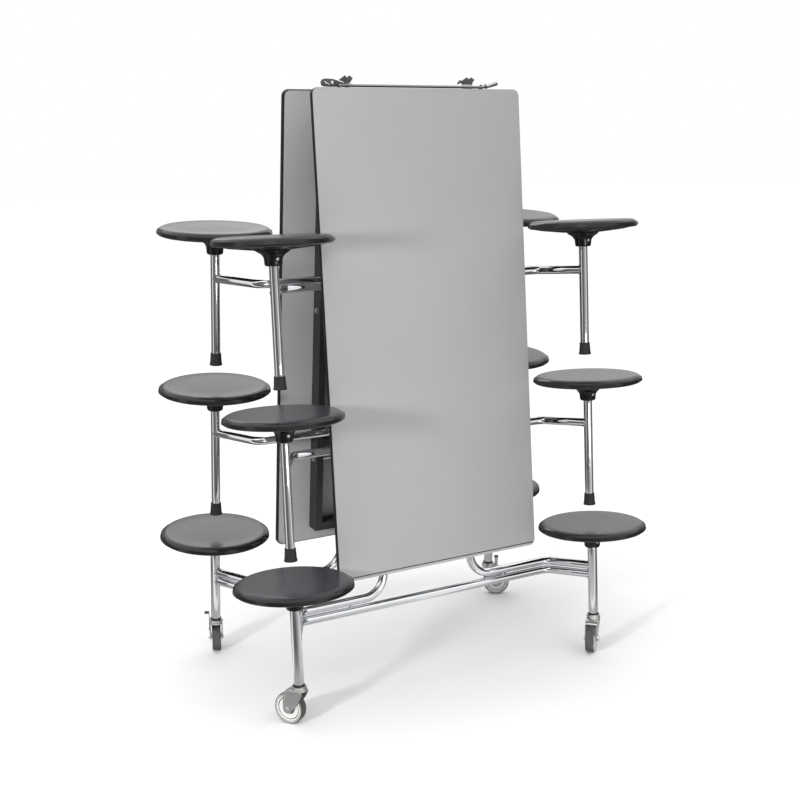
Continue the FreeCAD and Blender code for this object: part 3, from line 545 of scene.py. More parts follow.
M_TOP = laminate("grey_laminate", (0.345, 0.347, 0.350), (0.331, 0.333, 0.337))
M_EDGE = plastic("edge_band_black", (0.010, 0.010, 0.011), 0.40, 700, 0.10, 0.30)
M_BACKER = laminate("board_core", (0.36, 0.30, 0.22), (0.31, 0.255, 0.18))
M_DARK = paint("underframe_black_paint", (0.020, 0.020, 0.022), 0.38)
M_GREY = paint("link_grey_paint", (0.16, 0.165, 0.17), 0.40, (0.42, 0.42, 0.42))
M_CHROME = chrome("chrome_plate")
M_WELD = chrome("chrome_on_weld", (0.70, 0.70, 0.71), 0.16)
M_ZINC = zinc("zinc_plate", (0.70, 0.695, 0.68), 0.27)
M_STEEL = zinc("bright_screw", (0.80, 0.80, 0.80), 0.16)
def seat_plastic(name):
    """Satin top face, painted paler where it faces up (painted light), and a darker, smoother rim and underside
    (painted shade).
    """
    a = Mat(name)
    sep = a.node("ShaderNodeSeparateXYZ")
    a.link(a.tc.outputs["Normal"], sep.inputs[0])
    top = a.span(sep.outputs[2], 0.80, 0.985)
    big = a.noise(7, 4, 0.55, (1, 1, 1), 0.4)
    # top picks the up-facing face: its paler colour is painted light, and the darker colour of the rim and underside is
    # painted shade
    face = a.mix(a.span(big, 0.35, 0.75), (0.057, 0.0535, 0.0625), (0.063, 0.0595, 0.0685))
    rim = a.mix(a.span(big, 0.35, 0.75), (0.0085, 0.0085, 0.0095), (0.0105, 0.0105, 0.0115))
    c = a.mix(top, rim, face)
    c = a.mix(a.span(a.noise(840, 2, 0.6), 0.58, 0.76, 0, 0.20), c, (0.07, 0.068, 0.072))
    a.col(c)
    arc = a.noise(34, 4, 0.55, (1, 1, 0.2), 2.0)
    a.rough(a.math("ADD", a.span(top, 0, 1, 0.17, 0.235), a.span(arc, 0.5, 0.8, 0, 0.015)))
    a.link(a.span(top, 0, 1, 0.42, 0.42), a.p.inputs["Specular IOR Level"])
    a.bump(a.noise(1400, 2, 0.6), 0.04, 0.0004)
    return a.m


M_SEAT = seat_plastic("seat_charcoal_plastic")
M_HUB = plastic("hub_black_plastic", (0.004, 0.004, 0.0045), 0.16, 640, 0.04, 0.34)
M_FOOT = rubber("foot_black_rubber", (0.018, 0.018, 0.019), 0.50)
M_TREAD = rubber("tread_grey_rubber", (0.070, 0.068, 0.066), 0.50)
M_SIDE = rubber("tyre_side_grey_rubber", (0.33, 0.328, 0.318), 0.42)
M_UNDER = laminate("backing_laminate", (0.372, 0.374, 0.377), (0.352, 0.354, 0.358))
M_ROD = chrome("release_rod_steel", (0.30, 0.30, 0.305), 0.10)
M_PADDLE = paint("paddle_dark_paint", (0.062, 0.062, 0.065), 0.30, (0.50, 0.50, 0.50))
M_SCREW = paint("underframe_screw_black", (0.012, 0.012, 0.013), 0.30, (0.2, 0.2, 0.2))
def keeper(name):
    """Dark notched head on a bright plated shank, with a worn border between them."""
    a = Mat(name, Specular_IOR_Level=0.5)
    sep = a.node("ShaderNodeSeparateXYZ")
    a.link(a.tc.outputs["Object"], sep.inputs[0])
    z = a.math("ADD", sep.outputs[2], a.span(a.noise(240, 3, 0.6), 0.3, 0.7, -0.0008, 0.0008))
    head = a.span(z, 1.9215, 1.9232)
    dark = a.mix(a.span(a.noise(60, 4, 0.6), 0.4, 0.75), (0.060, 0.060, 0.063), (0.105, 0.105, 0.108))
    pale = a.mix(a.span(a.noise(40, 4, 0.6), 0.35, 0.7), (0.80, 0.80, 0.79), (0.68, 0.68, 0.67))
    a.col(a.mix(head, pale, dark))
    a.rough(a.span(a.noise(30, 4, 0.6), 0.3, 0.7, 0.34, 0.48))
    a.bump(a.noise(300, 3, 0.5), 0.08, 0.0004)
    return a.m


M_KEEP = keeper("keeper_dark_grey")
M_STRIP = plastic("end_strip_grey", (0.385, 0.387, 0.392), 0.32, 800, 0.05, 0.4, -0.06)
M_CORE = plastic("wheel_core_white", (0.74, 0.74, 0.72), 0.30, 500, 0.08, 0.5, -0.12)


# ------------------------------------------------------------------ chrome stool frames
XI, XO = 234.0, 258.0        # rail sides
PH, PI_ = 697.0, 123.5
LX, LT, LI, LD = 149.0, 5.0, 33.0, 33.0
ZUP = Matrix.Identity(4)


def rot_to(axis):
    return Vector((0, 0, 1)).rotation_difference(Vector(axis)).to_matrix().to_4x4()


def riser_in(w):
    return PI_ + (PH - w) * 0.157


def screw(pc, at, axis, rad, height, depth, shape, mat):
    pc.add(bm_disc_relief(rad, height, depth, shape, 16, 48, 0.6), mat, Matrix.Translation(at) @ rot_to(axis))


def washer(pc, at, axis, r, h, mat):
    pc.add(bm_lathe(rprof([(0, 0), (r, 0), (r, h), (0, h)], [0.3, 0.5], 3), 48), mat,
           Matrix.Translation(at) @ rot_to(axis))


def frame_piece(half, pos):
    leg = pos == "leg"
    node = "%s_leg_frame" % half if leg else "%s_%s_stool_frame" % (half, pos)
    pc = Piece(node + "_tubes")
    pr = 16.0 if leg else 14.5
    bot, top = (125.0 if leg else 8.0), 404.0
    aw, ai, bx = (297.0 if leg else 286.0), 151.0, 485.0
    for s in (-1, 1):
        pc.add(bm_tube([(s * SX, 0, bot), (s * SX, 0, top)], pr, 64), 0)
        d = Vector((s * (bx - SX), ai, 0)).normalized()
        root = Vector((s * SX, 0, aw)) + d * (pr - 5)
        path = fillet([root, (s * bx, ai, aw), (s * 170, ai + 6, aw), (s * 170, riser_in(440), 440)], [45, 75], 24)
        pc.add(bm_tube(path, 14.0, 56), 0)
        pc.add(bead_on_post(s * SX, 14.0, pr, Vector((s * SX, 0, aw)), d, 2.1, 11 + s), 1)
        # flat riser bar welded to the tube's turned-up end
        x0, x1 = (166.0, 174.0) if s > 0 else (-174.0, -166.0)
        pc.add(bm_prism(stadium2((riser_in(408), 408), (PI_, PH), 32, 18), "X", x0, x1, 0.9, 3), 0)
        for e in (-1, 1):
            y = 14.2 * e
            z0, z1 = 404.0, 439.5
            line = [Vector((s * 170.0, riser_in(z0 + (z1 - z0) * k / 14) + y, z0 + (z1 - z0) * k / 14)) for k in range(15)]
            pc.add(bm_tube(line, 2.3, 10, 0.9), 1)
        # lug of the link bar
        x0, x1 = (LX - 6.2, LX - 1.2) if s > 0 else (-LX + 1.2, -LX + 6.2)
        pc.add(bm_prism(stadium2((PI_, PH), (PI_ + LI, PH - LD), 22, 14), "X", x0, x1, 0.6, 2), 0)
        n = 40
        for xs, q in ((x0, -1), (x1, 1)):
            pts = [Vector((xs + 0.8 * q, PI_ + 12.7 * math.cos(2 * math.pi * k / n), PH + 12.7 * math.sin(2 * math.pi * k / n)))
                   for k in range(n)]
            nor = [Vector((q * 0.7, math.cos(2 * math.pi * k / n), math.sin(2 * math.pi * k / n))).normalized() for k in range(n)]
            pc.add(bm_bead(pts, nor, 1.5, 5), 1)
    if leg:
        d = Vector((bx - SX, ai, 0)).normalized()
        a = Vector((SX, 0, 266)) + d * (pr - 5)
        b = Vector((-a.x, a.y, a.z))
        path = fillet([b, (-bx, ai, 266), (bx, ai, 266), a], [45, 45], 16)
        pc.add(bm_tube(path, 14.0, 56), 0)
        for s in (-1, 1):
            d = Vector((s * (bx - SX), ai, 0)).normalized()
            pc.add(bead_on_post(s * SX, 14.0, pr, Vector((s * SX, 0, 266)), d, 2.1, 21 + s), 1)
        for x in (-300, 300):
            pc.add(bm_tube([(x, ai + 3, 274), (x, ai + 3, 289)], 5, 20, 0.3), 0)
    pc.add(bm_tube([(-184, PI_, PH), (184, PI_, PH)], 12.5, 48), 0)
    n = 40
    for s in (-1, 1):
        for xs, q in ((166.0, -1), (174.0, 1)):
            pts = [Vector((s * (xs + 0.8 * q), PI_ + 12.7 * math.cos(2 * math.pi * k / n), PH + 12.7 * math.sin(2 * math.pi * k / n)))
                   for k in range(n)]
            nor = [Vector((s * q * 0.7, math.cos(2 * math.pi * k / n), math.sin(2 * math.pi * k / n))).normalized() for k in range(n)]
            pc.add(bm_bead(pts, nor, 1.7, 5), 1)
    M = HALVES[half] @ PLACES[pos]
    return pc.done(node, M, [M_CHROME, M_WELD], [node], 32)


def hub_piece(half, pos):
    leg = pos == "leg"
    body = "%s_leg_frame" % half if leg else "%s_%s_stool_frame" % (half, pos)
    pr = (16.0 if leg else 14.5) + 0.3
    pc = Piece("%s_%s_hub_cups" % (half, pos))
    prof = rprof([(pr, 364), (23.2, 364), (26.4, 368), (28.4, 391), (35.5, 400.5), (50, 407.2), (55, 410.6), (48, 411.4),
                  (8, 411.4), (8, 431), (0, 431)], [1.8, 3.5, 18, 16, 1.0, 0.6, 1.0, 0.4, 0.8], 8)
    prof = [(pr, 376)] + prof
    for s in (-1, 1):
        pc.add(bm_lathe(prof, 80), 0, Matrix.Translation((s * SX, 0, 0)))
        # moulded boss round the clamping screw, with a shallow counterbore
        boss = rprof([(0, 25), (5.9, 25), (6.1, 29.6), (8.4, 29.8), (8.9, 21), (0, 21)], [0.4, 0.5, 0.8, 0.3], 4)
        pc.add(bm_lathe(boss, 48), 0, Matrix.Translation((s * SX, 0, 386)) @ rot_to((0, -1, 0)))
        # moulded webs between the cup and the seat, in line with the arm and across it
        for k in range(4):
            a = math.pi / 2 * k + math.pi / 4
            web = bm_prism([(25.5, 380), (30.2, 389), (36.4, 397.4), (50.0, 405.4), (50.0, 409), (28, 409)], "Y", -1.6, 1.6, 0.6, 2)
            pc.add(web, 0, Matrix.Translation((s * SX, 0, 0)) @ Matrix.Rotation(a, 4, "Z"))
        screw(pc, (s * SX, -28.8, 386), (0, -1, 0), 5.6, 2.9, 2.2, cross_shape(0.85, 3.4), 1)
    M = HALVES[half] @ PLACES[pos]
    return pc.done(body, M, [M_HUB, M_STEEL], ["%s_%s_seat_hubs" % (half, pos)], 40)


def fastener_piece(half, pos):
    leg = pos == "leg"
    body = "%s_leg_frame" % half if leg else "%s_%s_stool_frame" % (half, pos)
    pc = Piece("%s_%s_pivot_bolts" % (half, pos))
    for s in (-1, 1):
        pc.add(bm_tube([(s * 125, PI_, PH), (s * (XO + 5), PI_, PH)], 6.0, 32, 0.8), 0)
        washer(pc, (s * (XO + 0.7), PI_, PH), (s, 0, 0), 11.0, 1.4, 0)
        pc.add(bm_hex(17, 5.4, 1.1), 0, Matrix.Translation((s * (XO + 2.1), PI_, PH)) @ rot_to((s, 0, 0)))
        pc.add(bm_lathe(rprof([(0, 0), (9.5, 0), (9.5, 48.7), (0, 48.7)], [0.6, 0.6], 3), 48), 0,
               Matrix.Translation((s * 184.4, PI_, PH)) @ rot_to((s, 0, 0)))
        # far end of the hub's clamping screw, with its dome nut
        pc.add(bm_hex(8, 3.4, 0.6), 0, Matrix.Translation((s * SX, 17.5, 392)) @ rot_to((0, 1, 0)))
    M = HALVES[half] @ PLACES[pos]
    return pc.done(body, M, [M_ZINC], ["%s_%s_fasteners" % (half, pos)], 34)


def foot_piece(half, pos):
    pc = Piece("%s_%s_rubber_feet" % (half, pos))
    prof = rprof([(14.6, 34), (14.6, 40), (17.3, 40), (17.6, 36.2), (16.9, 35.4), (17.8, 29), (18.9, 9), (20.4, 5), (20.5, 0), (17.5, 0), (16, 1.2), (0, 1.2)],
                 [0.3, 1.2, 0.5, 0.6, 6, 4, 1.0, 1.2, 0.6, 0.6], 5)
    for s in (-1, 1):
        pc.add(bm_lathe(prof, 64), 0, Matrix.Translation((s * SX, 0, 0)))
    return pc.done("%s_%s_stool_frame" % (half, pos), HALVES[half] @ PLACES[pos], [M_FOOT],
                   ["%s_%s_feet" % (half, pos)], 45)


def seat_piece(half, pos, side):
    s = -1 if side == "left" else 1
    node = "%s_%s_%s_seat" % (half, pos, side)
    pc = Piece(node + "_shell")
    R, H = 182.0, 452.0
    prof = rprof([(0, H - 1.3), (60, H - 1.0), (120, H - 0.2), (R - 22, H - 0.4), (R - 2.2, H - 3.6), (R, H - 12.5), (R - 0.6, H - 18.4),
                  (R - 3.0, H - 24.5), (R - 9.5, H - 27.0), (R - 13.0, H - 25.6), (R - 19, H - 27.8), (78, H - 36.6), (62, H - 39.6),
                  (48, H - 41), (16, H - 41), (8.05, H - 41), (8.05, H - 19.5), (0, H - 19.5)],
                 [200, 200, 60, 26, 8, 5, 6, 3.0, 2.0, 2.0, 30, 12, 4, 0.5, 0.4, 0.3], 8)
    pc.add(bm_lathe(prof, 144), 0, Matrix.Translation((s * SX, 0, 0)))
    for k in range(12):
        a = 2 * math.pi * k / 12
        rib = bm_prism([(56, H - 38.0), (56, H - 41.0), (66, H - 40.6), (140, H - 32.4), (157, H - 28.9), (157, H - 26)], "Y", -1.3, 1.3, 0.5, 1)
        pc.add(rib, 0, Matrix.Translation((s * SX, 0, 0)) @ Matrix.Rotation(a, 4, "Z"))
    ring = rprof([(108, H - 32), (108, H - 35.4), (111, H - 35.1), (111, H - 31)], [0.6, 0.6], 2)
    pc.add(bm_lathe(ring, 96, True), 0, Matrix.Translation((s * SX, 0, 0)))
    return pc.done(node, HALVES[half] @ PLACES[pos], [M_SEAT], [node], 36)


for half in HALVES:
    for pos in PLACES:
        frame_piece(half, pos)
        hub_piece(half, pos)
        fastener_piece(half, pos)
        if pos != "leg":
            foot_piece(half, pos)
        for side in ("left", "right"):
            seat_piece(half, pos, side)


# ------------------------------------------------------------------ table halves
W, L, T = 756.0, 1525.0, 19.0


def outline(x, z0, z1, r, seg=10):
    return [(p.x, p.z) for p in fillet_closed([(-x, 0, z0), (x, 0, z0), (x, 0, z1), (-x, 0, z1)], r, seg)]


def band_piece(half):
    """Edge band: its outer face is a little crowned and its lips roll onto both faces."""
    pc = Piece(half + "_edge_band_strip")
    bm = bmesh.new()
    base = outline(W / 2, -L, 0, 22, 14)
    n = len(base)
    # inward offset and depth of each point of the band's section
    sec = [(5.2, 1.0), (1.4, 1.0), (0.75, 1.15), (0.35, 1.7), (0.1, 3.2), (0.0, 6.0), (0.0, 13.0), (0.1, 16.0), (0.45, 17.7), (1.1, 18.6),
           (2.2, 19.0), (3.4, 19.0), (3.8, 18.9), (5.2, 18.9)]
    def inset(i, d):
        p = Vector((base[i][0], base[i][1]))
        a = Vector(base[i - 1]); b = Vector(base[(i + 1) % n])
        t = (b - a).normalized()
        nn = Vector((-t.y, t.x))
        return p + nn * d
    rings = []
    for d, y in sec:
        row = []
        for i in range(n):
            q = inset(i, d)
            row.append(bm.verts.new((q.x, y, q.y)))
        rings.append(row)
    rings_n = len(rings)
    for j in range(rings_n):
        A, Bq = rings[j], rings[(j + 1) % rings_n]
        for k in range(n):
            bm.faces.new((A[k], A[(k + 1) % n], Bq[(k + 1) % n], Bq[k]))
    pc.add(bm, 0)
    return pc.done(half + "_table_half", HALVES[half] @ PANEL, [M_EDGE], [half + "_edge_band"], 50)


def clip_z(pts, z, sign):
    """The part of a convex outline above (sign 1) or below (sign -1) the height z."""
    out = []
    for i, a in enumerate(pts):
        b = pts[(i + 1) % len(pts)]
        ka, kb = (a[1] - z) * sign >= 0, (b[1] - z) * sign >= 0
        if ka:
            out.append(a)
        if ka != kb:
            t = (z - a[1]) / (b[1] - a[1])
            out.append((a[0] + (b[0] - a[0]) * t, z))
    return out


def board_piece(half):
    """Board between two laminate sheets. The outer sheet runs to the moulding's shoulder."""
    pc = Piece(half + "_laminated_top")
    def flat(d, y0, y1, bev, mat):
        pts = outline(W / 2 - d, -L + d, -d, 22 - d, 14)
        pc.add(bm_prism(pts, "Y", y0, y1, bev, 2), mat)
    full = outline(W / 2 - 0.7, -L + 0.7, -0.7, 21.3, 14)
    pc.add(bm_prism(clip_z(full, -L + 12.2, 1), "Y", 0.0, 1.05, 0.3, 2), 0)
    # strip along the outer end, past a gap whose dark seam line is painted shade of the groove, with grime
    pc.add(bm_prism(clip_z(full, -L + 9.2, -1), "Y", 0.0, 1.05, 0.45, 3), 3)
    # black sheet under the laminate, seen only through that gap: painted shade of the groove, with grime
    flat(1.4, 0.62, 1.3, 0.0, 4)
    flat(3.6, 0.9, 18.1, 0.0, 1)
    flat(3.05, 18.0, 19.0, 0.25, 2)
    return pc.done(half + "_table_half", HALVES[half] @ PANEL, [M_TOP, M_BACKER, M_UNDER, M_STRIP, M_FOOT], [half + "_tabletop"], 30)


def assign(node, mat, bevel=None, seg=2, ang=35):
    o = NODES[node]
    me = o.data
    me.materials.clear()
    me.materials.append(mat)
    for p in me.polygons:
        p.use_smooth = True
    me.set_sharp_from_angle(angle=math.radians(30))
    if bevel:
        b = o.modifiers.new("rim", "BEVEL")
        b.width, b.segments, b.limit_method, b.angle_limit = bevel, seg, "ANGLE", math.radians(ang)
        b.harden_normals = True
    return o


for half in HALVES:
    band_piece(half)
    board_piece(half)
    assign(half + "_underframe", M_DARK, 0.0016, 3)
    assign(half + "_link_bars", M_GREY, 0.0008, 2)
    assign(half + "_caster_stems", M_ZINC, 0.0006, 2)
    assign(half + "_underframe_fasteners", M_SCREW, 0.0004, 2)
assign("centre_carriage", M_DARK, 0.0010, 2)
assign("fold_pins", M_ZINC, 0.0006, 2)
assign("keeper_plates", M_KEEP, 0.0008, 2)


# ------------------------------------------------------------------ casters
TRAIL = {"front_left": 122.0, "front_right": 222.0, "back_left": 68.0, "back_right": 325.0}
POST_Y = (PLACES["leg"] @ Vector((0, 0, 125))).y


def caster_place(corner):
    sx = -1 if corner.endswith("left") else 1
    y = POST_Y if corner.startswith("front") else -POST_Y
    return Matrix.Translation((sx * SX, y, 0)) @ Matrix.Rotation(math.radians(TRAIL[corner]), 4, "Z")


def flat_fillet(pts, r, seg=5):
    return [(p.x, p.z) for p in fillet_closed([(x, 0, z) for x, z in pts], r, seg)]


def fork_piece(corner):
    """Pressed fork: two plates and a roof with rolled edges, the race under the swivel, axle bolt and nut."""
    pc = Piece(corner + "_pressed_fork")
    side = [(-18.5, 112.5), (-21.5, 104), (-12, 86), (12, 50), (19, 38.5), (32, 35.2), (44, 38.5), (46.6, 52), (46.6, 98), (42, 106), (33, 110), (21, 112.5)]
    rad = [4, 5, 14, 20, 9, 12, 9, 12, 10, 9, 9, 4]
    line = flat_fillet(side, rad)
    for lo, hi in ((-21.0, -18.0), (18.0, 21.0)):
        pc.add(bm_prism(line, "Y", lo, hi, 1.1, 3), 0)
    # pressed stiffening bead down each plate
    for s in (-1, 1):
        pc.add(bm_tube([(6, s * 20.7, 96), (17, s * 20.7, 76), (26, s * 20.7, 60)], 1.9, 16, 0.8), 0)
        pc.add(bm_tube([(40, s * 20.7, 94), (39, s * 20.7, 76), (36, s * 20.7, 62)], 1.9, 16, 0.8), 0)
    roof = flat_fillet([(-18.5, 108.6), (-18.5, 113), (21, 113), (34, 110), (43, 106), (46, 100), (42.6, 98.6), (39, 103), (31, 106.4), (20, 108.6)],
                       [1.2, 2.5, 8, 8, 7, 1, 1, 6, 8, 8])
    pc.add(bm_prism(roof, "Y", -20.9, 20.9, 1.6, 4), 0)
    # swivel head with its ball track, under a dark ring: painted shade of the gap below the post
    pc.add(bm_lathe(rprof([(5.1, 109), (22.8, 109), (23, 114), (20.8, 116.9), (5.1, 116.9)], [0.3, 1, 2.6, 1.6, 0.3], 5), 64, True), 0)
    pc.add(bm_lathe(rprof([(5.1, 116.2), (21.4, 116.2), (21.4, 117.5), (5.1, 117.5)], [0.2, 0.3, 0.3, 0.2], 3), 64, True), 1)
    # axle bolt and nut
    pc.add(bm_tube([(32, -24, 50), (32, 25.0, 50)], 5.9, 36, 1.2), 2)
    for s in (-1, 1):
        T0 = Matrix.Translation((32, s * 21.0, 50)) @ rot_to((0, s, 0))
        pc.add(bm_lathe(rprof([(0, 0), (9, 0), (9, 1.1), (0, 1.1)], [0.3, 0.4], 3), 40), 2, T0)
        pc.add(bm_hex(14.6, 3.7 if s < 0 else 4.9, 1.0), 2, T0 @ Matrix.Translation((0, 0, 1.1)))
    if corner.startswith("back"):
        pc.add(bm_lathe(rprof([(0, 19.5), (3.5, 19.5), (3.5, 24.6), (6, 24.6), (5.2, 26.2), (0, 26.2)], [0.1, 0.2, 0.2, 0.7, 0.8], 4), 32), 2,
               Matrix.Translation((35, 0, 77)) @ rot_to((0, 1, 0)))
    return pc.done(corner + "_caster", caster_place(corner), [M_ZINC, M_HUB, M_STEEL], [corner + "_caster_fork"], 38)


def both(prof):
    """A section and its mirror image in z, as one closed loop."""
    return prof + [(r, -z) for r, z in prof[::-1]]


def wheel_piece(corner):
    pc = Piece(corner + "_wheel_and_tyre")
    T0 = Matrix.Translation((32, 0, 50)) @ Matrix.Rotation(math.pi / 2, 4, "X")
    wall = rprof([(40.6, -11.6), (42.4, -14.0), (45.2, -15.0), (47.2, -14.3), (47.2, 0)], [0.8, 1.0, 0.6], 3)
    pc.add(bm_lathe(both(wall), 96, True), 1, T0)
    tread = rprof([(46.4, 0), (46.4, -14.5), (47.6, -14.3), (49.2, -11.8), (49.9, -4), (50, 0)], [0.2, 0.5, 2.0, 6], 4)
    pc.add(bm_lathe(both(tread), 96, True), 0, T0)
    core = rprof([(6.05, -16.4), (11.2, -16.4), (12.8, -14.4), (14.4, -9.6), (19.4, -8.2), (20.4, -10.6), (33.4, -12.2), (34.2, -9.8), (36.6, -9.8),
                  (37.4, -12.8), (41.0, -13.0), (41.0, 0)], [1.0, 1.0, 1.4, 0.8, 0.6, 0.6, 0.4, 0.4, 0.5, 0.5], 3)
    pc.add(bm_lathe([(6.05, 0)] + both([(6.05, -15)] + core), 96, True), 2, T0)
    # dark grey rings laid in the groove between the disc and its rim and in the recess at the hub: painted shade in
    # both recesses
    for s in (-1, 1):
        for ra, rb, za, zb in ((34.0, 36.8, 9.0, 10.1), (14.2, 19.8, 7.6, 9.9)):
            pc.add(bm_lathe(rprof([(ra, za), (rb, za), (rb, zb), (ra, zb)], [0.2, 0.2, 0.2], 2) + [(ra, za + 0.1)], 72, True), 0,
                   T0 @ (Matrix.Identity(4) if s > 0 else Matrix.Rotation(math.pi, 4, "X")))
    # dark bearing cover round the axle
    for s in (-1, 1):
        pc.add(bm_lathe(rprof([(6.1, 15.6), (9.2, 15.6), (9.0, 16.8), (6.1, 16.8)], [0.1, 0.3, 0.3, 0.1], 2), 48, True), 3,
               T0 @ (Matrix.Identity(4) if s > 0 else Matrix.Rotation(math.pi, 4, "X")))
    return pc.done(corner + "_wheel", caster_place(corner), [M_TREAD, M_SIDE, M_CORE, M_HUB], [corner + "_wheel"], 38)


def post_gap_shade(half):
    """Dark ring where each post meets the swivel head: painted shade of the gap between them."""
    pc = Piece(half + "_post_gap_shade_rings")
    for s in (-1, 1):
        ring = rprof([(16.1, 122.8), (19.4, 122.8), (19.4, 126.2), (16.1, 126.2)], [0.2, 0.6, 0.6, 0.2], 3)
        pc.add(bm_lathe(ring, 64, True), 0, Matrix.Translation((s * SX, 0, 0)))
    return pc.done(half + "_leg_frame", HALVES[half] @ PLACES["leg"], [M_HUB], (), 40)


def brake_pad(corner):
    """Soft pad on the foot tab of the brake lever."""
    pc = Piece(corner + "_brake_pad")
    pc.add(bm_box((25.2, 24.4, 137.6), (38.8, 35.8, 140.0), 0.8, 3), 0)
    for k in range(4):
        y = 26.2 + 2.6 * k
        pc.add(bm_box((26.2, y, 139.6), (37.8, y + 1.1, 140.7), 0.4, 2), 0)
    return pc.done(corner + "_brake_pedal", caster_place(corner), [M_FOOT], (), 40)


for c in ("front_left", "front_right", "back_left", "back_right"):
    fork_piece(c)
    wheel_piece(c)
for half in HALVES:
    post_gap_shade(half)
for c in ("back_left", "back_right"):
    assign(c + "_brake_pedal", M_ROD if c == "back_left" else M_ZINC, 0.0007, 3)
    brake_pad(c)


def bar_piece():
    """Release bar: rod with a turned-out grip, two arms on their pins, and a paddle with its stud and rib."""
    pc = Piece("release_bar_and_paddle")
    end, bend = Vector((325, 50, 24)), Vector((264, 41, 10))
    path = fillet([(-268, 41, 10), tuple(bend), tuple(end)], [60], 14)
    pc.add(bm_tube(path, 4.5, 32), 0)
    d = (end - bend).normalized()
    pc.add(bm_tube([tuple(end - d * 49), tuple(end + d * 0.9)], 7.5, 40, 1.6), 1)
    pc.add(bm_tube([tuple(end - d * 50.2), tuple(end - d * 46.5)], 7.9, 40, 0.8), 2)
    for s in (-1, 1):
        x0, x1 = (259.2, 264.2) if s > 0 else (-264.2, -259.2)
        pc.add(bm_prism(stadium2((47, -37), (46.5, 9), 20, 16), "X", x0, x1, 0.9, 3), 0)
    flat = fillet_closed([(x, 0, z) for x, z in [(-206, 13.4), (-246, 17.5), (-271, 25), (-285, 29), (-307, 30.2), (-321, 28), (-327, 20),
                                                 (-325, 10), (-318, 6.4), (-300, 5.6), (-270, 5.6), (-206, 6.6)]],
                         [1, 20, 20, 12, 12, 6, 6, 5, 5, 12, 12, 1], 5)
    pc.add(bm_prism([(p.x, p.z) for p in flat], "Y", 38.5, 43.5, 1.0, 3), 3)
    for e in (-1, 1):
        # raised rib across the paddle, and the stud's round boss
        y = 41 + 3.0 * e
        pc.add(bm_tube([(-317.5, y, 20.5), (-296, y, 9.8)], 2.4, 20, 1.2), 2)
        pc.add(bm_lathe(rprof([(0, 0), (6.2, 0), (6.0, 3.2), (4.2, 4.6), (0, 4.9)], [0.3, 1.2, 1.6], 5), 40), 2,
               Matrix.Translation((-289, 41 + 1.6 * e, 17)) @ rot_to((0, e, 0)))
        pc.add(bm_tube([(-275, y, 11.5), (-266, y, 20.5)], 1.9, 16, 0.9), 3)
    return pc.done("release_bar", PANEL, [M_ROD, M_ZINC, M_STEEL, M_PADDLE], ["release_bar"], 40)


bar_piece()


# ------------------------------------------------------------------ floor, light, camera
CARD_GAIN = 1.1
# bearings: 0.25 is the front (-Y), 0.5 the right (+X), 0.75 the back, 0 and 1 the left
CARDS = [(0.00, 0.85), (0.018, 0.85), (0.034, 0.12), (0.12, 0.12), (0.164, 0.20), (0.20, 0.34), (0.296, 0.46), (0.314, 0.87),
         (0.348, 0.87), (0.366, 0.24), (0.40, 0.14), (0.50, 0.14), (0.58, 0.46), (0.628, 0.80), (0.645, 0.74), (0.672, 0.46), (0.69, 0.24), (0.72, 0.24), (0.76, 0.36), (0.82, 0.24),
         (0.894, 0.15), (0.962, 0.15), (0.978, 0.85), (1.0, 0.85)]


# the ground beyond the table, as mirrors see it, is dark behind
GROUND = [(p, v) for p, v in CARDS if p < 0.55 or p > 0.80] + [(0.58, 0.12), (0.62, 0.07), (0.70, 0.07), (0.76, 0.12)]
GROUND.sort()


def cards(nt, sep, stops):
    """Upright cards round the set: a grey level for each bearing of the vector."""
    at = nt.nodes.new("ShaderNodeMath"); at.operation = "ARCTAN2"
    nt.links.new(sep.outputs[1], at.inputs[0]); nt.links.new(sep.outputs[0], at.inputs[1])
    mr = nt.nodes.new("ShaderNodeMapRange")
    mr.inputs[1].default_value, mr.inputs[2].default_value = -math.pi, math.pi
    nt.links.new(at.outputs[0], mr.inputs[0])
    ramp = nt.nodes.new("ShaderNodeValToRGB")
    nt.links.new(mr.outputs[0], ramp.inputs[0])
    cr = ramp.color_ramp
    cr.interpolation = "EASE"
    while len(cr.elements) < len(stops):
        cr.elements.new(0.5)
    for e, (p, v) in zip(cr.elements, stops):
        e.position = p
        e.color = (v, v, v, 1)
    return ramp.outputs[0]


def stage():
    me = bpy.data.meshes.new("floor")
    bm = bmesh.new()
    bmesh.ops.create_grid(bm, x_segments=8, y_segments=8, size=30)
    bm.to_mesh(me); bm.free()
    fl = bpy.data.objects.new("floor", me)
    scene.collection.objects.link(fl)
    a = Mat("floor_pale", Specular_IOR_Level=0.05, Roughness=0.85)
    a.col(a.mix(a.noise(0.6, 3), (0.92, 0.92, 0.92), (0.94, 0.94, 0.94)))
    # far from the object, mirror rays see the floor glow with the dark and bright cards that stand round the set: a
    # painted reflection on the floor
    nt = a.nt
    sep = nt.nodes.new("ShaderNodeSeparateXYZ")
    nt.links.new(a.tc.outputs["Object"], sep.inputs[0])
    painted_reflection_glow = nt.nodes.new("ShaderNodeEmission")
    nt.links.new(cards(nt, sep, GROUND), painted_reflection_glow.inputs[0])
    painted_reflection_glow.inputs[1].default_value = CARD_GAIN
    x2 = a.math("MULTIPLY", sep.outputs[0], sep.outputs[0])
    y2 = a.math("MULTIPLY", sep.outputs[1], sep.outputs[1])
    far = a.span(a.math("SQRT", a.math("ADD", x2, y2)), 0.5, 1.5, 0.5, 1.0)
    lp = nt.nodes.new("ShaderNodeLightPath")
    fac = a.math("MULTIPLY", far, lp.outputs["Is Glossy Ray"])
    mx = nt.nodes.new("ShaderNodeMixShader")
    nt.links.new(fac, mx.inputs[0])
    nt.links.new(a.p.outputs[0], mx.inputs[1])
    nt.links.new(painted_reflection_glow.outputs[0], mx.inputs[2])
    nt.links.new(mx.outputs[0], a.out.inputs[0])
    me.materials.append(a.m)


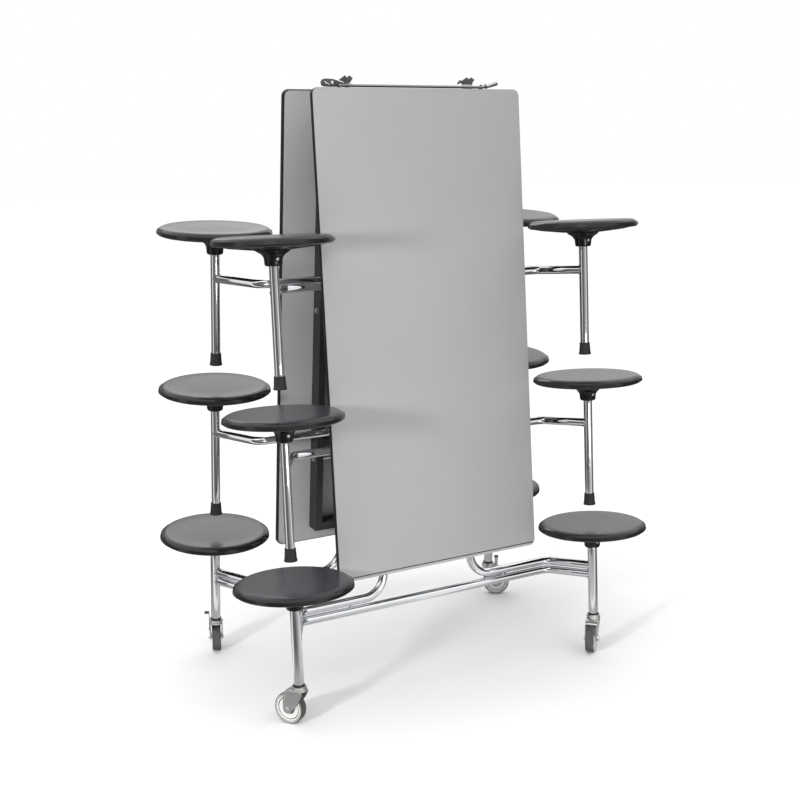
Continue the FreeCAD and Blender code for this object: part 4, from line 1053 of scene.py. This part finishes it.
def world():
    w = bpy.data.worlds.new("studio")
    scene.world = w
    w.use_nodes = True
    nt = w.node_tree
    nt.nodes.clear()
    out = nt.nodes.new("ShaderNodeOutputWorld")
    bgc = nt.nodes.new("ShaderNodeBackground")
    bgc.inputs[0].default_value = (1, 1, 1, 1)
    bgc.inputs[1].default_value = 1.0
    bge = nt.nodes.new("ShaderNodeBackground")
    lp = nt.nodes.new("ShaderNodeLightPath")
    mx = nt.nodes.new("ShaderNodeMixShader")
    nt.links.new(lp.outputs["Is Camera Ray"], mx.inputs[0])
    nt.links.new(bge.outputs[0], mx.inputs[1])
    nt.links.new(bgc.outputs[0], mx.inputs[2])
    nt.links.new(mx.outputs[0], out.inputs[0])
    tc = nt.nodes.new("ShaderNodeTexCoord")
    sep = nt.nodes.new("ShaderNodeSeparateXYZ")
    nt.links.new(tc.outputs["Generated"], sep.inputs[0])
    hz = nt.nodes.new("ShaderNodeMapRange")
    hz.inputs[1].default_value, hz.inputs[2].default_value = 0.34, 0.52
    nt.links.new(sep.outputs[2], hz.inputs[0])
    mixz = nt.nodes.new("ShaderNodeMix"); mixz.data_type = "RGBA"
    nt.links.new(hz.outputs[0], mixz.inputs[0])
    nt.links.new(cards(nt, sep, CARDS), mixz.inputs[6])
    mixz.inputs[7].default_value = (1.18, 1.18, 1.18, 1)
    nt.links.new(mixz.outputs[2], bge.inputs[0])
    bge.inputs[1].default_value = CARD_GAIN


def area(name, loc, target, size, power, size_y=None):
    d = bpy.data.lights.new(name, "AREA")
    d.energy, d.size = power, size
    if size_y:
        d.shape, d.size_y = "RECTANGLE", size_y
    o = bpy.data.objects.new(name, d)
    scene.collection.objects.link(o)
    o.location = loc
    o.rotation_mode = "QUATERNION"
    o.rotation_quaternion = (Vector(target) - Vector(loc)).to_track_quat("-Z", "Y")
    return o


stage()
world()
area("key", (-2.6, -3.6, 4.4), (0, 0, 0.9), 1.8, 8)
area("fill", (0.2, -4.2, 0.5), (0.0, 0, 0.4), 1.8, 22, 0.7)
area("side", (-4.3, -2.05, 1.75), (0, -0.1, 1.1), 0.5, 115, 0.5).visible_glossy = False
area("rim", (1.1, 4.5, 3.6), (0, 0, 0.9), 2.5, 21)

cam = bpy.data.objects.new("camera", bpy.data.cameras.new("camera"))
scene.collection.objects.link(cam)
scene.camera = cam
yaw, pitch, roll = math.radians(30.69), math.radians(11.86), math.radians(-0.31)
fwd = Vector((math.sin(yaw) * math.cos(pitch), math.cos(yaw) * math.cos(pitch), -math.sin(pitch)))
right = Vector((math.cos(yaw), -math.sin(yaw), 0))
up = right.cross(fwd)
r2 = right * math.cos(roll) + up * math.sin(roll)
u2 = -right * math.sin(roll) + up * math.cos(roll)
R = Matrix((r2, u2, -fwd)).transposed().to_4x4()
cam.matrix_world = Matrix.Translation((-2.1809, -3.6475, 1.7852)) @ R
cam.data.sensor_width = 36
cam.data.lens = 36 * 1295.02 / 800
cam.data.clip_start, cam.data.clip_end = 0.05, 100

scene.view_settings.view_transform = "Standard"
scene.view_settings.look = "None"
